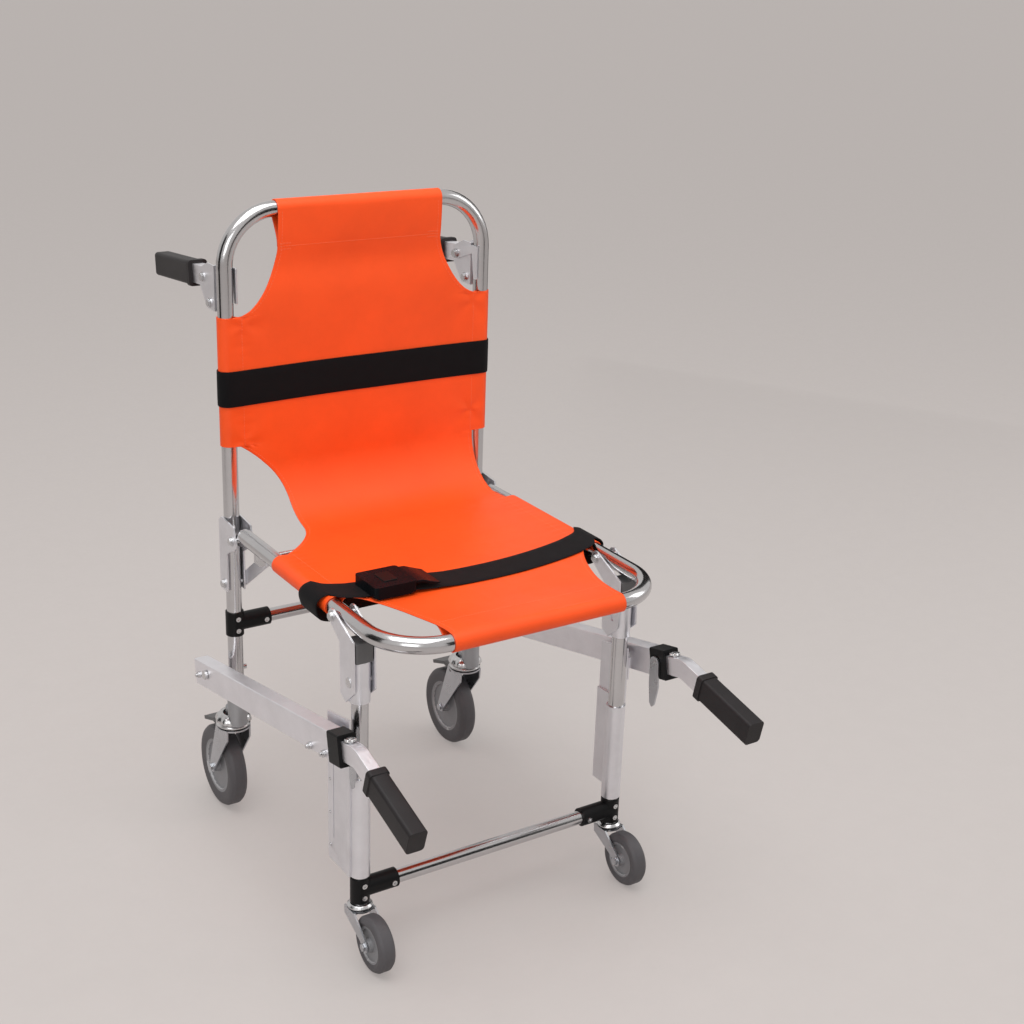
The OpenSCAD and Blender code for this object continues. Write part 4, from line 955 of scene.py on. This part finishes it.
button_rise = 0.0032  # how far the button stands out of its bar
rail_slopes = {"left": 10.8, "right": 12.8}  # degrees that each rail rises towards the front
ring_outline = [(0.0049, 0.0, False), (0.0072, 0.0, True), (0.0072, 0.0024, True),
                (0.0064, 0.0030, True), (0.0049, 0.0030, False)]
for side in ("left", "right"):
    spots = [vert.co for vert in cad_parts["handle_button_" + side].data.vertices]
    slope = math.radians(rail_slopes[side])
    up = Vector((0, math.sin(slope), math.cos(slope)))
    button_low, button_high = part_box("handle_button_" + side)
    middle = (button_low + button_high) / 2
    bar_top = max(spot.dot(up) for spot in spots) - button_rise
    ring = ribbed_ring("button_ring_" + side, middle + up * (bar_top - middle.dot(up)), up,
                       ring_outline, ribs=12, swell=0.07)
    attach(ring, "front_handle_" + side)

# Casters
#
# Pressed and zinc plated forks that swivel on their stems, at the rear under a bright bearing
# dome. The wheels have a grey moulded hub with a raised ring and a dark tyre, and the rear ones
# a nylon brake pedal.

tyre = grained("tyre_rubber", paint(78, 76, 79), gloss=0.55, grain=700.0, patch=0.12,
               relief=0.4, depth=0.0003)
hub_grey = grained("hub_grey", paint(126, 126, 129), gloss=0.45, grain=900.0, patch=0.08,
                   relief=0.25)
pale_ring = grained("hub_ring", paint(172, 172, 174), gloss=0.35, grain=900.0, patch=0.06,
                    relief=0.2)


# radius of the hub by the wheel's diameter, and of its ring's inner edge by the hub's radius
hub_share, ring_share = 0.33, 0.87


def wheel_finished(node, body):
    """A wheel whose tyre, hub and hub ring are told apart by distance from the axle."""
    piece = finished(node, body, tyre, edge=0.0005)
    piece.data.materials.append(hub_grey)
    piece.data.materials.append(pale_ring)
    low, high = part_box(node)
    axle = (low + high) / 2
    hub_radius = (high.z - low.z) * hub_share
    for face in piece.data.polygons:
        away = math.hypot(face.center.y - axle.y, face.center.z - axle.z)
        if away < hub_radius * 1.001:
            face.material_index = 2 if away > hub_radius * ring_share else 1


for side in ("left", "right"):
    for place in ("front", "rear"):
        finished(place + "_fork_" + side, place + "_fork_" + side, plated_sheet,
                 edge=0.0006)
        wheel_finished(place + "_wheel_" + side, place + "_wheel_" + side)
    finished("rear_brake_" + side, "rear_brake_" + side, grey_nylon,
             edge=0.0012, steps=3)

cap_low, cap_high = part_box("rear_caster_stems")
stem_y = cap_low.y + (cap_high.y - cap_low.y) / 2
dome_rise = 0.0090  # above the top of the fork
dome_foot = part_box("rear_fork_left")[1].z + dome_rise
dome_outline = [(0.0150, 0.0, False), (0.0256, 0.0, False), (0.0262, 0.0008, True),
                (0.0256, 0.0045, True), (0.0232, 0.0085, True), (0.0196, 0.0112, True),
                (0.0150, 0.0118, False)]
for side, mirrored in (("left", -1), ("right", 1)):
    dome = ribbed_ring("bearing_dome_" + side, Vector((mirrored * half_width, stem_y, dome_foot)),
                       Vector((0, 0, 1)), dome_outline, ribs=10, swell=0.035)
    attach(dome, "back_frame")

# Floor, light and camera
#
# A plain pale floor under soft ceiling light, seen from where the chair was pictured.

floor_mesh = bpy.data.meshes.new("floor")
floor_mesh.from_pydata([(-30, -30, 0), (30, -30, 0), (30, 30, 0), (-30, 30, 0)], [],
                       [(0, 1, 2, 3)])
floor = linked("floor", floor_mesh)
pale_floor = grained("pale_floor", paint(190, 184, 181), gloss=0.65, grain=90.0, patch=0.015,
                     relief=0.05)
floor_mesh.materials.append(pale_floor)
tree = pale_floor.node_tree
# a share of its own glow where it is seen, so the floor is as even as in the photograph
rays = tree.nodes.new("ShaderNodeLightPath")
seen_rays = rays.outputs["Is Camera Ray"]
for more in ("Is Glossy Ray", "Is Transmission Ray"):
    seen_rays = combined(tree, "MAXIMUM", seen_rays, rays.outputs[more])
part = tree.nodes.new("ShaderNodeMath")
part.operation = "MULTIPLY"
part.inputs[1].default_value = 0.42
tree.links.new(seen_rays, part.inputs[0])
glow = add_node(tree, "ShaderNodeEmission", Color=paint(206, 199, 196), Strength=1.0)
mixed = tree.nodes.new("ShaderNodeMixShader")
tree.links.new(part.outputs["Value"], mixed.inputs[0])
tree.links.new(tree.nodes["Principled BSDF"].outputs["BSDF"], mixed.inputs[1])
tree.links.new(glow.outputs["Emission"], mixed.inputs[2])
tree.links.new(mixed.outputs["Shader"], tree.nodes["Material Output"].inputs["Surface"])


def soft_light(name, place, aim, wide, high, power):
    """A large soft panel of light."""
    lamp = bpy.data.lights.new(name, "AREA")
    lamp.shape = "RECTANGLE"
    lamp.size, lamp.size_y = wide, high
    lamp.energy = power
    made = linked(name, lamp)
    made.location = place
    made.rotation_euler = (Vector(aim) - Vector(place)).to_track_quat("-Z", "Y").to_euler()


soft_light("ceiling", (-0.5, -0.4, 3.0), (0, 0, 0.4), 2.2, 2.2, 54)
soft_light("front_fill", (-2.6, -2.6, 1.9), (0, 0, 0.5), 1.6, 1.6, 22)
soft_light("side_fill", (3.0, -1.0, 2.0), (0, 0, 0.5), 1.2, 2.0, 16)

# three tall dark panels round the chair, seen only in polished metal, as walls are
for place_x, place_y, facing in ((-2.4, 0.6, 75), (2.2, 1.6, -60), (1.3, -3.2, 25)):
    dark = bpy.data.meshes.new("dark_panel")
    dark.from_pydata([(-0.7, 0, 0.02), (0.7, 0, 0.02), (0.7, 0, 2.4), (-0.7, 0, 2.4)], [],
                     [(0, 1, 2, 3)])
    dark.materials.append(black_nylon)
    panel = linked("dark_panel", dark)
    panel.location = (place_x, place_y, 0)
    panel.rotation_euler = (0, 0, math.radians(facing))
    panel.visible_camera = False
    panel.visible_diffuse = False
    panel.visible_shadow = False
    panel.visible_transmission = False

world = bpy.data.worlds.new("room")
bpy.context.scene.world = world
world.use_nodes = True
backdrop = world.node_tree.nodes["Background"]
backdrop.inputs["Color"].default_value = paint(232, 229, 227)
backdrop.inputs["Strength"].default_value = 0.84

camera_place = (-1.0281, -1.7537, 1.2836)
camera = linked("camera", bpy.data.cameras.new("camera"))
camera.data.lens = 56.257
camera.data.sensor_width = 36
yaw, pitch, roll = math.radians(-33.52), math.radians(-20.44), math.radians(2.014)
ahead = Vector((-math.sin(yaw) * math.cos(pitch), math.cos(yaw) * math.cos(pitch),
                math.sin(pitch)))
sideways = Vector((math.cos(yaw), math.sin(yaw), 0))
upward = sideways.cross(ahead)
level_x = sideways * math.cos(roll) + upward * math.sin(roll)
level_y = upward * math.cos(roll) - sideways * math.sin(roll)
camera.matrix_world = Matrix.Translation(camera_place) @ Matrix(
    (level_x, level_y, -ahead)).transposed().to_4x4()
bpy.context.scene.camera = camera
bpy.context.scene.view_settings.view_transform = "Standard"
